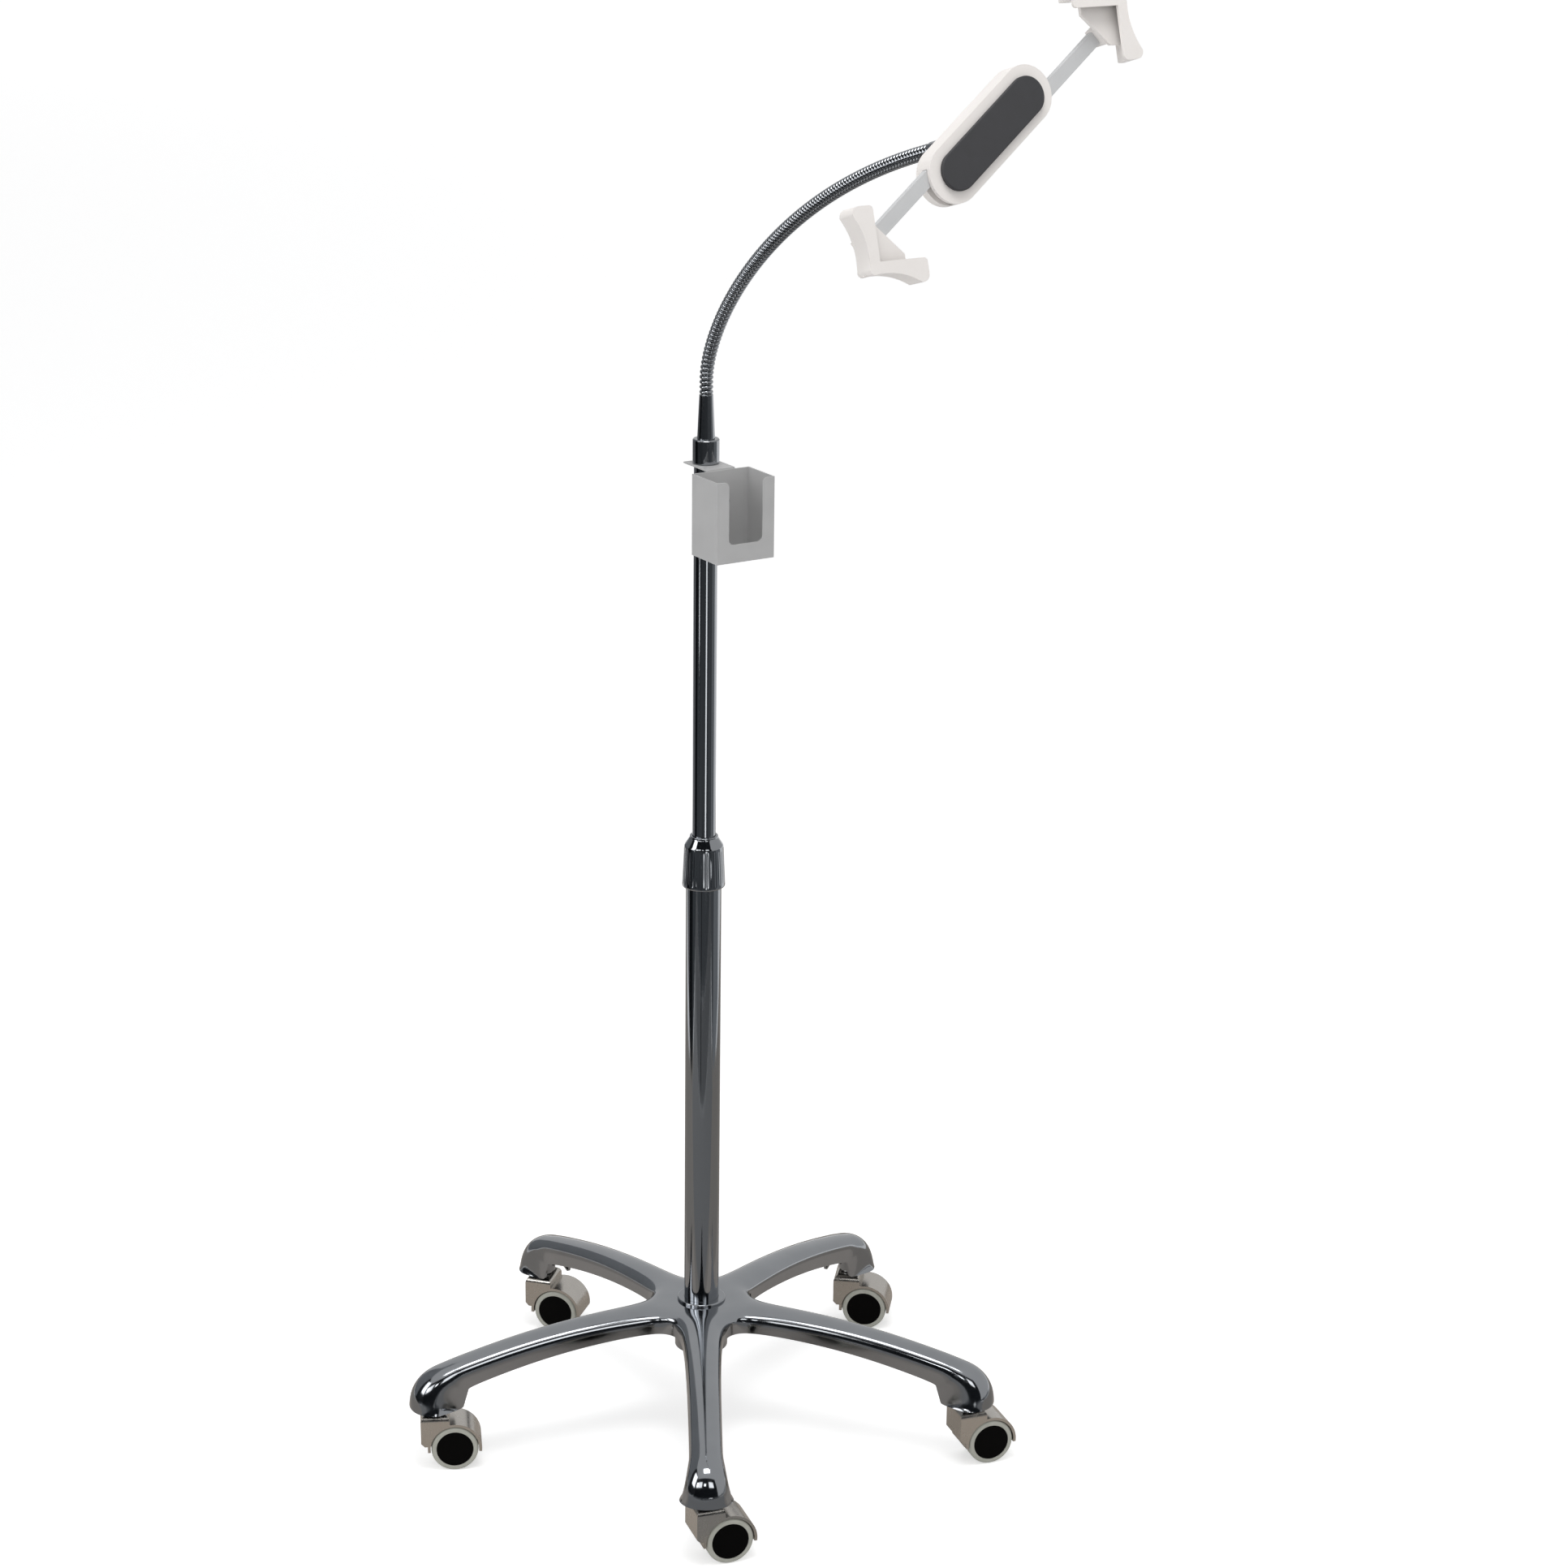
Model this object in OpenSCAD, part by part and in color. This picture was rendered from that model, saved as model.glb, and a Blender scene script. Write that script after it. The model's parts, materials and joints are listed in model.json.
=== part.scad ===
// Adjustable tablet floor stand: a five-arm chromed base on twin-wheel casters, a telescopic
// column with a twist collar, a ribbed gooseneck and a corner-grip holder on a ball joint.
// Millimetres. Z is up, the origin is on the floor under the column, and the holder faces -Y.

/* [Base] */
// Radius of the circle of caster stems
stem_circle = 305; // [285:1:330]
// Turn of the arms about the column, from an arm straight to the front
base_turn = -30; // [-36:1:36]
// Height of the top of the hub
hub_top = 150; // [140:1:165]
// Radius of the hub between the arms
hub_r = 47; // [44:0.5:54]
// Depth of the hub's outer wall
hub_depth = 30; // [27:1:38]
// Rounding of the hub's upper edge
hub_round = 6; // [5:1:10]
// Radius of the sleeve in the hub that holds the column
hub_sleeve_r = 29; // [26:0.5:32]
// Depth of that sleeve below the hub's top
hub_sleeve_depth = 55; // [50:1:60]
// Thickness of the hub's top, its outer wall and the arms' walls
casting_wall = 4; // [3:0.5:5]
// Width of an arm where it leaves the hub
arm_root_w = 44; // [40:1:48]
// Width of an arm at its waist, before the foot
arm_waist_w = 35; // [30:1:40]
// Depth of an arm where it leaves the hub
arm_root_depth = 30; // [27:1:38]
// Depth of an arm at its waist
arm_waist_depth = 28; // [24:1:34]
// Height of the rounded crown of an arm's top
arm_crown = 14; // [10:1:18]
// Width and length of a foot
foot_w = 58; // [52:1:62]
// Radius of the bend down into a foot
foot_bend_r = 42; // [36:1:46]
// Height of a foot's upright skirt
foot_skirt = 3; // [2:0.5:5]
// Radius of the boss that holds a caster stem
stem_boss_r = 13; // [11:0.5:15]
// Depth of the stem's hole in a foot
stem_hole_depth = 26; // [20:1:28]
// Outside radius of the ring round the column
hub_ring_r = 26.5; // [23:0.5:28]
// Height of that ring
hub_ring_h = 3; // [2:0.5:5]

/* [Casters] */
// Diameter of a wheel
wheel_d = 51; // [48:1:54]
// Width of a wheel
wheel_w = 15; // [13:0.5:17]
// Rounding of a wheel's edges
wheel_round = 3; // [2:0.5:4]
// Radius of a wheel's cap
cap_r = 19.7; // [17:0.1:21]
// Thickness of a wheel's cap
cap_t = 2; // [1.5:0.1:3]
// Distance from the stem's axis back to the axle
trail = 20; // [18:0.5:22]
// Height from the axle up to a foot's underside
fork_height = 44.5; // [43:0.5:48]
// Radius of an axle
axle_r = 3; // [2.5:0.1:4]
// Radius of a stem
stem_r = 5.5; // [5:0.1:6]
// Height of the flange on a stem
stem_flange_h = 3; // [2:0.5:4]
// Radius of the flange on a stem
stem_flange_r = 10; // [8:0.5:12]
// Thickness of a hood over the wheels
hood_wall = 3; // [2:0.5:4]
// Thickness of the web between two wheels
web_w = 10; // [8:0.5:13]
// Reach of a hood ahead of the stem
hood_lead = 16.5; // [15:0.5:19]
// Rounding of a hood's upper edges
hood_round = 8; // [5:0.5:10]
// Chamfer of a hood's lower front corner
hood_chamfer = 4; // [2:0.5:6]

/* [Column] */
// Diameter of the lower tube
lower_d = 38; // [36:0.5:42]
// Wall of both tubes
tube_wall = 1.5; // [1:0.25:2]
// Height of the lower tube's upper end
lower_top = 656; // [560:1:700]
// Diameter of the upper tube
upper_d = 25; // [23:0.5:28]
// Height of the upper tube's lower end
upper_foot = 440; // [430:1:480]
// Height of the upper tube's upper end
upper_top = 1108; // [1080:1:1200]
// Length of the guide bush
bush_l = 30; // [20:1:40]
// Length of the plug in the lower tube's foot
plug_l = 20; // [15:1:25]
// Radius of the base bolt's shank
bolt_r = 4; // [3:0.5:5]
// Length of the collar below its shoulder
collar_l = 46; // [38:1:50]
// Length of the collar's cone
collar_cone_l = 11; // [10:1:20]
// Radius of the collar at its lower edge
collar_low_r = 23; // [21.9:0.1:26]
// Radius of the collar at its shoulder
collar_high_r = 20.9; // [20.4:0.1:24]
// Radius of the collar's rim round the upper tube
collar_rim_r = 15.2; // [14.4:0.1:17]
// Length of the collet inside the lower tube
collet_l = 40; // [30:1:50]
// Radius of the top sleeve
sleeve_r = 14; // [13.8:0.1:16]
// Length of the top sleeve
sleeve_l = 26; // [22:1:32]
// Thickness of the top sleeve's end
sleeve_end = 13; // [8:0.5:16]

/* [Pocket] */
// Width of the pocket
pocket_w = 68; // [60:1:80]
// Depth inside the pocket, front to back
pocket_depth = 47; // [40:1:60]
// Height of the pocket
pocket_h = 85; // [70:1:100]
// Thickness of the sheet
sheet_t = 1.5; // [1:0.25:2]
// Distance from the column's axis to the pocket's back
pocket_gap = 29; // [27:1:40]
// Width of the cut-out in the front
notch_w = 40; // [30:1:46]
// Height of the front below the cut-out
notch_sill = 19; // [12:1:30]
// Rounding of the cut-out's corners
notch_round = 6; // [3:1:8]
// Half width of the bracket's tongue
tongue_half_w = 17; // [16:0.5:22]
// Reach of the tongue behind the column's axis
tongue_back = 17; // [16:0.5:24]
// Height of the bracket's upright tab
tab_h = 45; // [35:1:60]

/* [Neck] */
// Height of the tapered neck socket
socket_h = 46; // [36:1:60]
// Radius of the neck socket at its foot
socket_low_r = 9.3; // [8.5:0.1:11]
// Radius of the gooseneck over its ribs
neck_r = 7.2; // [6:0.1:7.5]
// Depth of the grooves between ribs
rib_depth = 0.9; // [0.5:0.1:1.2]
// Spacing of the ribs
rib_pitch = 5.1; // [4:0.1:7]
// Radius of the gooseneck's bore
neck_bore_r = 4; // [3:0.1:4.5]
// How far the curve holds the upright direction
neck_rise = 60; // [40:5:120]
// How far the curve holds the holder's direction
neck_run = 280; // [200:5:320]
// Radius of the end fitting
tip_r = 8; // [7.5:0.1:9]
// Length of the end fitting
tip_l = 36; // [28:1:44]
// Radius of the ball
ball_r = 10; // [9:0.5:11]
// Radius of the ball's neck
ball_neck_r = 3.2; // [2.8:0.1:3.6]

/* [Holder] */
// Distance from the column's axis to the middle of the rest pad
holder_reach = 493; // [450:1:540]
// Height of the middle of the rest pad
holder_z = 1497; // [1470:1:1560]
// Lean of the holder back from upright
holder_tilt = 16.5; // [10:0.5:30]
// Width between the grips' side walls
tablet_w = 306; // [296:1:312]
// Height between the grips' end walls
tablet_h = 221; // [214:1:226]
// Thickness that fits between the grips' shelves and lips
tablet_t = 8; // [6:0.5:12]
// Half length of the holder's casing
case_half_l = 82; // [81:0.5:88]
// Half width of the holder's casing
case_half_w = 27; // [26:0.5:32]
// Thickness of the front cover
front_t = 4; // [3:0.5:6]
// Thickness of the rest pad
rest_t = 5; // [4.5:0.5:8]
// Distance of the rest pad's ends from the casing's ends
rest_inset = 12; // [10:1:30]
// Half width of the rest pad
rest_half_w = 18; // [12:0.5:22]
// Thickness of the rear cover behind the arms
rear_t = 9.7; // [8.5:0.1:12]
// Thickness of a rack arm
arm_t = 7.7; // [6:0.1:10]
// Distance of an arm's outer edge from the rail's middle
arm_edge = 20; // [17:0.5:20.5]
// Teeth on the pinion
pinion_teeth = 12; // [12:2:14]
// Module of the teeth
tooth_module = 1; // [0.9:0.05:1.1]
// Radius of the pinion's pin
pinion_pin_r = 2.5; // [2:0.1:3]
// Length of a grip's legs
leg_l = 56; // [50:1:64]
// Reach of a grip's lips over the front
lip_reach = 6.5; // [6:0.5:9]
// Thickness of a grip's lips
lip_t = 3; // [2:0.5:4]
// Thickness of a grip's shelf
shelf_t = 4; // [3:0.5:4.5]
// Depth of a grip's walls behind the shelf's front
grip_back = 11; // [9:0.5:14]
// Thickness of a grip's wall between its lobes
grip_wall = 4; // [3.5:0.1:6]
// Distance that a grip's lobes stand out
lobe_out = 15; // [12:0.5:18]
// Radius of a grip's lobes
lobe_r = 7; // [5:0.5:8]
// Radius of the hollow side of a grip
scallop_r = 70; // [60:1:90]
// Thickness of a grip's pad
pad_t = 1.5; // [1:0.1:2]
// Radius of the lock knob
knob_r = 11; // [9:0.5:14]
// Thickness of the lock knob
knob_t = 12; // [8:0.5:16]
// Radius of the lock knob's screw
knob_screw_r = 3; // [2.5:0.1:4]

/* [Hidden] */
$fn = 64;
arm_count = 5;
// Clearance of a running fit, of a fixed fit, and between pieces that pass each other
run_fit = 0.05;
fixed_fit = 0.02;
air = 0.3;
// How far a cutter runs past what it cuts
past = 1;
// Rest turn of each caster about its stem, counted from +X
caster_turns = [-13, -12, -40, -48, -26];

axle_z = wheel_d / 2;
foot_z = axle_z + fork_height;
foot_out = stem_circle + foot_w / 2;
foot_in = stem_circle - foot_w / 2;
// The arm's top line is a long arc from the hub, tangent to the bend into the foot
arm_lap = 5;
arm_level = 18;
arm_start = hub_r - arm_lap;
arm_flat = arm_start + arm_level;
arm_drop = hub_top - foot_z - foot_skirt;
arm_slope = 2 * atan((arm_drop - foot_bend_r) / (foot_out - arm_flat - foot_bend_r));
arm_arc_r = foot_bend_r + (foot_out - arm_flat - foot_bend_r) / sin(arm_slope);
waist_slope = asin((foot_in - arm_flat) / arm_arc_r);
// The rib between a stem's boss and the foot's wall ends within that wall
foot_rib_h = foot_bend_r / 2;
foot_rib_l = foot_out - foot_bend_r - stem_circle
    + sqrt(pow(foot_bend_r - casting_wall / 2, 2) - pow(foot_rib_h, 2));
arm_sections = 6;
shoulder_sections = 2;
bend_sections = 6;
arch_steps = 10;
arch_power = 0.82;
crown_keep = 0.75;
waist_power = 3;
foot_power = 1.1;

stem_reach = 22;
hood_gap = 1;
well_air = 0.9;
hood_rise = 3.5;
hood_edge = 1;
stem_foot = foot_z - stem_flange_h - stem_reach;
hood_top = foot_z - stem_flange_h - hood_gap;
hood_half_w = web_w / 2 + air + wheel_w;
well_r = wheel_d / 2 + well_air;
fender_r = well_r + hood_wall;
hood_low = axle_z + hood_rise;
fender_low = axle_z - hood_rise;
hood_fill_h = 0.6 * fender_r;
axle_boss_r = 3 * axle_r;
cap_edge = 0.4 * cap_t;

lower_r = lower_d / 2;
upper_r = upper_d / 2;
hub_floor = 6;
lower_foot = hub_top - hub_sleeve_depth + hub_floor;
bolt_head_h = 6;
bolt_head_r = 8;
collet_flange = 4;
collet_slot = 2;
cone_wall = 1;
collar_rise = 20;
collar_shoulder = lower_top + collet_flange + collar_rise;
collar_foot = collar_shoulder - collar_l;
collar_top = collar_shoulder + collar_cone_l;
sleeve_top = upper_top + sleeve_end;
sleeve_foot = sleeve_top - sleeve_l;

pocket_top = sleeve_foot - sheet_t;
pocket_back = -pocket_gap - sheet_t;
pocket_front = pocket_back - pocket_depth;
pocket_floor = pocket_top - pocket_h;
rivet_r = 2;
rivet_up = 12;
spigot_r = socket_low_r - 2;
spigot_l = 10;

neck_foot = sleeve_top + socket_h;
ball_back = 46;
ball_neck_l = 8;
tip_back = ball_back + ball_r + ball_neck_l;
neck_back = tip_back + tip_l;
neck_sides = 8;
neck_steps = 80;
bore_rings = 36;
cup_t = 2;
cup_r = ball_r + run_fit + cup_t;
swivel_plate_r = 22;
swivel_plate_t = 4;
swivel_pin_r = 10;
socket_wall = 3.2;
socket_r = cup_r + run_fit + socket_wall;
lock_ring_r = socket_r + 4;

diagonal = atan2(tablet_h, tablet_w);
half_diagonal = norm([tablet_w, tablet_h]) / 2;
case_front = -rest_t;
arm_front = case_front - front_t - air;
arm_back = arm_front - arm_t;
channel_back = arm_back - air;
case_back = channel_back - rear_t;
channel_half_w = arm_edge + air;
grip_travel = 70;
pitch_r = pinion_teeth * tooth_module / 2;
tooth_pitch = PI * tooth_module;
pressure = 25;
base_r = pitch_r * cos(pressure);
addendum = 0.9 * tooth_module;
dedendum = 1.15 * tooth_module;
rack_root = pitch_r + dedendum;
backlash = 0.25;
rack_tail = 4;
block_gap = 1.5;
block_inset = 16;
block_floor = 2.4;
block_wall = 2;
block_side = 3;
arm_inner = -pitch_r - rack_tail;
block_start = case_half_l + grip_travel + block_gap;
block_end = half_diagonal - block_inset;
screw_r = 1.4;
screw_head_r = 2.8;
screw_head_h = 1.8;
grip_screw_shares = [0.3, 0.75];
case_screw_x = case_half_l - case_half_w;
rest_half_l = case_half_l - rest_inset;
knob_inset = 6;
knob_at = case_screw_x - knob_inset;
knob_y = (pitch_r + arm_edge) / 2;
knob_gap = 2;
knob_lobes = 6;
knob_flute_r = 3;
knob_flute_out = 1.5;
scallop_y = 0.18 * leg_l;
tip_round = 4;
// The rounded outer corner laps both hollow sides where it would just touch them
corner_lap = 0.1;
corner_r = norm([grip_wall + scallop_r, scallop_y]) - scallop_r + corner_lap;

function arm_angle(k) = base_turn - 90 + 360 / arm_count * (k - 1);
function mix(a, b, f) = a + (b - a) * f;

// Flat shapes with true arcs at their corners
module round_top(half_w, low, high, r) {
    translate([-half_w, low]) square([2 * half_w, high - r - low]);
    translate([-half_w + r, low]) square([2 * (half_w - r), high - low]);
    for (side = [-1, 1]) translate([side * (half_w - r), high - r]) circle(r);
}

module stadium(half_l, half_w) {
    translate([-half_l + half_w, -half_w]) square([2 * (half_l - half_w), 2 * half_w]);
    for (end = [-1, 1]) translate([end * (half_l - half_w), 0]) circle(half_w);
}

module ring_2d(outer, inner) {
    difference() {
        circle(outer);
        circle(inner);
    }
}

// Extrudes a flat shape between two heights
module between(low, high) {
    translate([0, 0, low]) linear_extrude(high - low) children();
}

// Base
// A point of the arm's top line, as distance out and height, at a slope of the long arc or of the bend
function arc_point(slope) = [
    arm_flat + arm_arc_r * sin(slope),
    hub_top - arm_arc_r * (1 - cos(slope))
];
function bend_point(slope) = [
    foot_out - foot_bend_r * (1 - sin(slope)),
    foot_z + foot_skirt + foot_bend_r * cos(slope)
];
function under(top, slope, depth) = top - depth * [sin(slope), cos(slope)];
waist_under = under(arc_point(waist_slope), waist_slope, arm_waist_depth);
foot_under = [foot_in, foot_z];

// One section of the arm: top and under points, width and crown
function arm_section(f) = let (
    slope = waist_slope * f,
    top = f < 0 ? [mix(arm_flat, arm_start, -f), hub_top] : arc_point(slope),
    depth = mix(arm_root_depth, arm_waist_depth, max(f, 0))
) [top, under(top, max(slope, 0), depth),
    arm_waist_w + (arm_root_w - arm_waist_w) * pow(1 - max(f, 0), waist_power), arm_crown];
function foot_section(top, f) = [
    top,
    mix(waist_under, foot_under, f),
    mix(arm_waist_w, foot_w, pow(f, foot_power)),
    mix(arm_crown, foot_w / 2, f)
];
foot_tops = concat(
    [for (i = [1 : shoulder_sections])
        arc_point(mix(waist_slope, arm_slope, i / shoulder_sections))],
    [for (i = [1 : bend_sections]) bend_point(mix(arm_slope, 90, i / bend_sections))],
    [[foot_out, foot_z]]
);
arm_list = concat(
    [arm_section(-1)],
    [for (i = [0 : arm_sections]) arm_section(i / arm_sections)],
    [for (i = [0 : len(foot_tops) - 1]) foot_section(foot_tops[i], (i + 1) / len(foot_tops))]
);

// An arch across the section, from its right edge over the crown to its left edge, flatter than an ellipse
function flattened(v) = sign(v) * pow(abs(v), arch_power);
function arch(section, inset) = let (
    up = section[0] - section[1],
    depth = norm(up),
    half_w = section[2] / 2 - inset,
    crown = section[3] - inset * crown_keep,
    spring = depth - inset - crown
) [for (p = concat(
        [[half_w, 0]],
        [for (i = [0 : arch_steps]) let (a = 180 * i / arch_steps)
            [half_w * flattened(cos(a)), spring + crown * flattened(sin(a))]],
        [[-half_w, 0]]
    )) let (at = section[1] + up / depth * p.y) [at.x, p.x, at.y]];
function reversed(list) = [for (i = [len(list) - 1 : -1 : 0]) list[i]];

// A thin arched channel through a list of sections
module channel_loft(sections, wall) {
    rings = [for (s = sections) concat(arch(s, 0), reversed(arch(s, wall)))];
    n = len(rings[0]);
    last = (len(rings) - 1) * n;
    sides = [for (k = [0 : len(rings) - 2], i = [0 : n - 1])
        let (a = k * n + i, b = k * n + (i + 1) % n) each [[a, b + n, b], [a, a + n, b + n]]];
    caps = [for (i = [0 : n / 2 - 2]) let (j = n - 1 - i)
        each [[i, i + 1, j], [i + 1, j - 1, j], [last + i, last + j, last + i + 1],
            [last + i + 1, last + j, last + j - 1]]];
    polyhedron([for (ring = rings) each ring], concat(sides, caps), convexity = 6);
}

module base_spider() {
    color("silver") difference() {
        union() {
            rotate_extrude() translate([0, hub_top]) difference() {
                union() {
                    translate([0, -hub_depth]) square([hub_r, hub_depth - hub_round]);
                    translate([0, -hub_depth]) square([hub_r - hub_round, hub_depth]);
                    translate([hub_r - hub_round, -hub_round]) circle(hub_round);
                }
                translate([-hub_r, -2 * hub_depth]) square([hub_r, 3 * hub_depth]);
                translate([hub_sleeve_r - past, -hub_depth - past])
                    square([hub_r - casting_wall - hub_sleeve_r + past, hub_depth - hub_round + past]);
            }
            translate([0, 0, hub_top - hub_sleeve_depth])
                cylinder(r = hub_sleeve_r, h = hub_sleeve_depth - past);
            for (k = [1 : arm_count]) rotate(arm_angle(k)) {
                channel_loft(arm_list, casting_wall);
                translate([stem_circle, 0, foot_z])
                    cylinder(r = stem_boss_r, h = stem_hole_depth + casting_wall);
                translate([stem_circle, -casting_wall / 2, foot_z + foot_skirt])
                    cube([foot_rib_l, casting_wall, foot_rib_h]);
            }
        }
        translate([0, 0, lower_foot]) cylinder(r = lower_r + fixed_fit, h = hub_top);
        cylinder(r = bolt_r + fixed_fit, h = hub_top);
        for (k = [1 : arm_count]) rotate(arm_angle(k)) translate([stem_circle, 0, foot_z - past])
            cylinder(r = stem_r + fixed_fit, h = stem_hole_depth + past);
    }
}

module hub_ring() {
    color("silver") rotate_extrude() difference() {
        union() {
            translate([0, hub_top]) square([hub_ring_r, hub_ring_h / 2]);
            translate([0, hub_top]) square([hub_ring_r - hub_ring_h / 2, hub_ring_h]);
            translate([hub_ring_r - hub_ring_h / 2, hub_top + hub_ring_h / 2]) circle(hub_ring_h / 2);
        }
        translate([0, hub_top - hub_ring_h]) square([lower_r + fixed_fit, 3 * hub_ring_h]);
    }
}

module caster_stems() {
    color("lightgray") for (k = [1 : arm_count])
        rotate(arm_angle(k)) translate([stem_circle, 0, 0]) {
            translate([0, 0, stem_foot + air])
                cylinder(r = stem_r, h = foot_z + stem_hole_depth - stem_foot - 2 * air);
            translate([0, 0, foot_z - stem_flange_h]) cylinder(r = stem_flange_r, h = stem_flange_h);
        }
}

// Casters, in a frame with the stem on Z and the wheels trailing towards +X
module at_caster(k) {
    rotate(arm_angle(k)) translate([stem_circle, 0, 0]) rotate(caster_turns[k - 1] - arm_angle(k)) children();
}

module upright(half_w) {
    rotate([90, 0, 0]) translate([0, 0, -half_w]) linear_extrude(2 * half_w) children();
}

module hood_side() {
    difference() {
        union() {
            translate([trail, axle_z]) circle(fender_r);
            translate([-hood_edge, 0]) round_top(hood_lead - hood_edge, hood_low, hood_top, hood_round);
            translate([-hood_lead, hood_low]) square([hood_lead + trail, hood_fill_h]);
        }
        translate([-hood_lead - fender_r, fender_low - 2 * fender_r])
            square([2 * (hood_lead + fender_r + trail), 2 * fender_r]);
        translate([-hood_lead, hood_low]) polygon([
            [-past, -past], [hood_chamfer + past, -past], [-past, hood_chamfer + past]
        ]);
    }
}

module caster_hood(k) {
    color("silver") at_caster(k) {
        difference() {
            union() {
                intersection() {
                    upright(hood_half_w) hood_side();
                    rotate([90, 0, 90]) translate([0, 0, -hood_lead - past])
                        linear_extrude(2 * (hood_lead + trail + fender_r))
                            round_top(hood_half_w, 0, hood_top, hood_round);
                }
                upright(web_w / 2) translate([trail, axle_z]) circle(axle_boss_r);
            }
            for (side = [-1, 1]) translate([trail, side * (web_w / 2 + hood_half_w), axle_z])
                rotate([90, 0, 0]) cylinder(r = well_r, h = 2 * hood_half_w, center = true);
            translate([0, 0, stem_foot]) cylinder(r = stem_r + run_fit, h = foot_z);
            upright(hood_half_w) translate([trail, axle_z]) circle(axle_r + fixed_fit);
        }
        upright(hood_half_w - cap_t - air) translate([trail, axle_z]) circle(axle_r);
    }
}

// A wheel or cap is turned about the axle and set on one side of the web
module on_axle(k, side) {
    at_caster(k) translate([trail, 0, axle_z]) rotate([side * -90, 0, 0])
        translate([0, 0, web_w / 2 + air]) children();
}

module caster_wheel(k, side) {
    inner_r = wheel_d / 2 - wheel_round;
    color("whitesmoke") on_axle(k, side) rotate_extrude() difference() {
        union() {
            square([inner_r, wheel_w]);
            translate([0, wheel_round]) square([wheel_d / 2, wheel_w - 2 * wheel_round]);
            for (z = [wheel_round, wheel_w - wheel_round]) translate([inner_r, z]) circle(wheel_round);
        }
        translate([0, wheel_w - cap_t]) square([cap_r + air, 2 * cap_t]);
        translate([0, -wheel_w]) square([axle_r + run_fit, 3 * wheel_w]);
    }
}

module caster_cap(k, side) {
    color("black") on_axle(k, side) translate([0, 0, wheel_w - cap_t]) rotate_extrude() difference() {
        union() {
            square([cap_r, cap_t - cap_edge]);
            square([cap_r - cap_edge, cap_t]);
            translate([cap_r - cap_edge, cap_t - cap_edge]) circle(cap_edge);
        }
        translate([-cap_r, -cap_t]) square([cap_r, 4 * cap_t]);
    }
}

// Column
module tube(low, high, r, wall) {
    translate([0, 0, low]) difference() {
        cylinder(r = r, h = high - low);
        translate([0, 0, -past]) cylinder(r = r - wall, h = high - low + 2 * past);
    }
}

module lower_tube() {
    color("silver") tube(lower_foot, lower_top, lower_r, tube_wall);
}

module column_plug() {
    color("dimgray") tube(lower_foot, lower_foot + plug_l, lower_r - tube_wall - fixed_fit,
        lower_r - tube_wall - 2 * fixed_fit - bolt_r);
}

module base_bolt() {
    head_z = hub_top - hub_sleeve_depth - bolt_head_h;
    color("lightgray") {
        translate([0, 0, head_z]) cylinder(r = bolt_head_r, h = bolt_head_h, $fn = 6);
        translate([0, 0, head_z + bolt_head_h])
            cylinder(r = bolt_r, h = lower_foot + plug_l - head_z - bolt_head_h - 2 * past);
    }
}

module collet() {
    cone_l = collar_shoulder + collar_cone_l / 2 - lower_top - collet_flange;
    bore_r = upper_r + run_fit;
    color("gainsboro") difference() {
        union() {
            translate([0, 0, lower_top - collet_l])
                cylinder(r = lower_r - tube_wall - fixed_fit, h = collet_l);
            translate([0, 0, lower_top]) cylinder(r = lower_r - 2 * air, h = collet_flange);
            translate([0, 0, lower_top + collet_flange])
                cylinder(r1 = lower_r - tube_wall, r2 = upper_r + cone_wall, h = cone_l);
        }
        translate([0, 0, lower_top - collet_l - past])
            cylinder(r = bore_r, h = collet_l + collet_flange + cone_l + 2 * past);
        for (a = [0, 90]) rotate(a) translate([-lower_r, -collet_slot / 2, lower_top + collet_flange + past])
            cube([2 * lower_r, collet_slot, cone_l]);
    }
}

module lock_collar() {
    seat_z = lower_top + collet_flange + air;
    edge = 2;
    color("silver") rotate_extrude() difference() {
        polygon([
            [0, collar_foot], [collar_low_r - edge, collar_foot], [collar_low_r, collar_foot + edge],
            [collar_high_r, collar_shoulder], [collar_rim_r, collar_top - edge], [collar_rim_r, collar_top],
            [0, collar_top]
        ]);
        translate([0, collar_foot - past]) square([lower_r + run_fit, seat_z - collar_foot + past]);
        polygon([
            [0, seat_z - past], [lower_r - tube_wall + air, seat_z - past],
            [upper_r + cone_wall + air, collar_top - edge], [upper_r + air, collar_top - edge],
            [upper_r + air, collar_top + past], [0, collar_top + past]
        ]);
    }
}

module guide_bush() {
    bush_lip = 4;
    inside = lower_r - tube_wall - run_fit;
    color("gainsboro") difference() {
        translate([0, 0, upper_foot - bush_lip]) cylinder(r = inside, h = bush_l);
        translate([0, 0, upper_foot]) cylinder(r = upper_r + run_fit, h = bush_l);
        translate([0, 0, upper_foot - bush_lip - past]) cylinder(r = upper_r - tube_wall, h = bush_l);
    }
}

module upper_tube() {
    color("silver") tube(upper_foot, upper_top, upper_r, tube_wall);
}

module top_sleeve() {
    edge = 1;
    color("silver") rotate_extrude() difference() {
        polygon([
            [0, sleeve_foot], [sleeve_r - edge, sleeve_foot], [sleeve_r, sleeve_foot + edge],
            [sleeve_r, sleeve_top - edge], [sleeve_r - edge, sleeve_top], [0, sleeve_top]
        ]);
        translate([0, sleeve_foot - past]) square([upper_r + fixed_fit, upper_top - sleeve_foot + past]);
        square([spigot_r + fixed_fit, 2 * sleeve_top]);
    }
}

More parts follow.
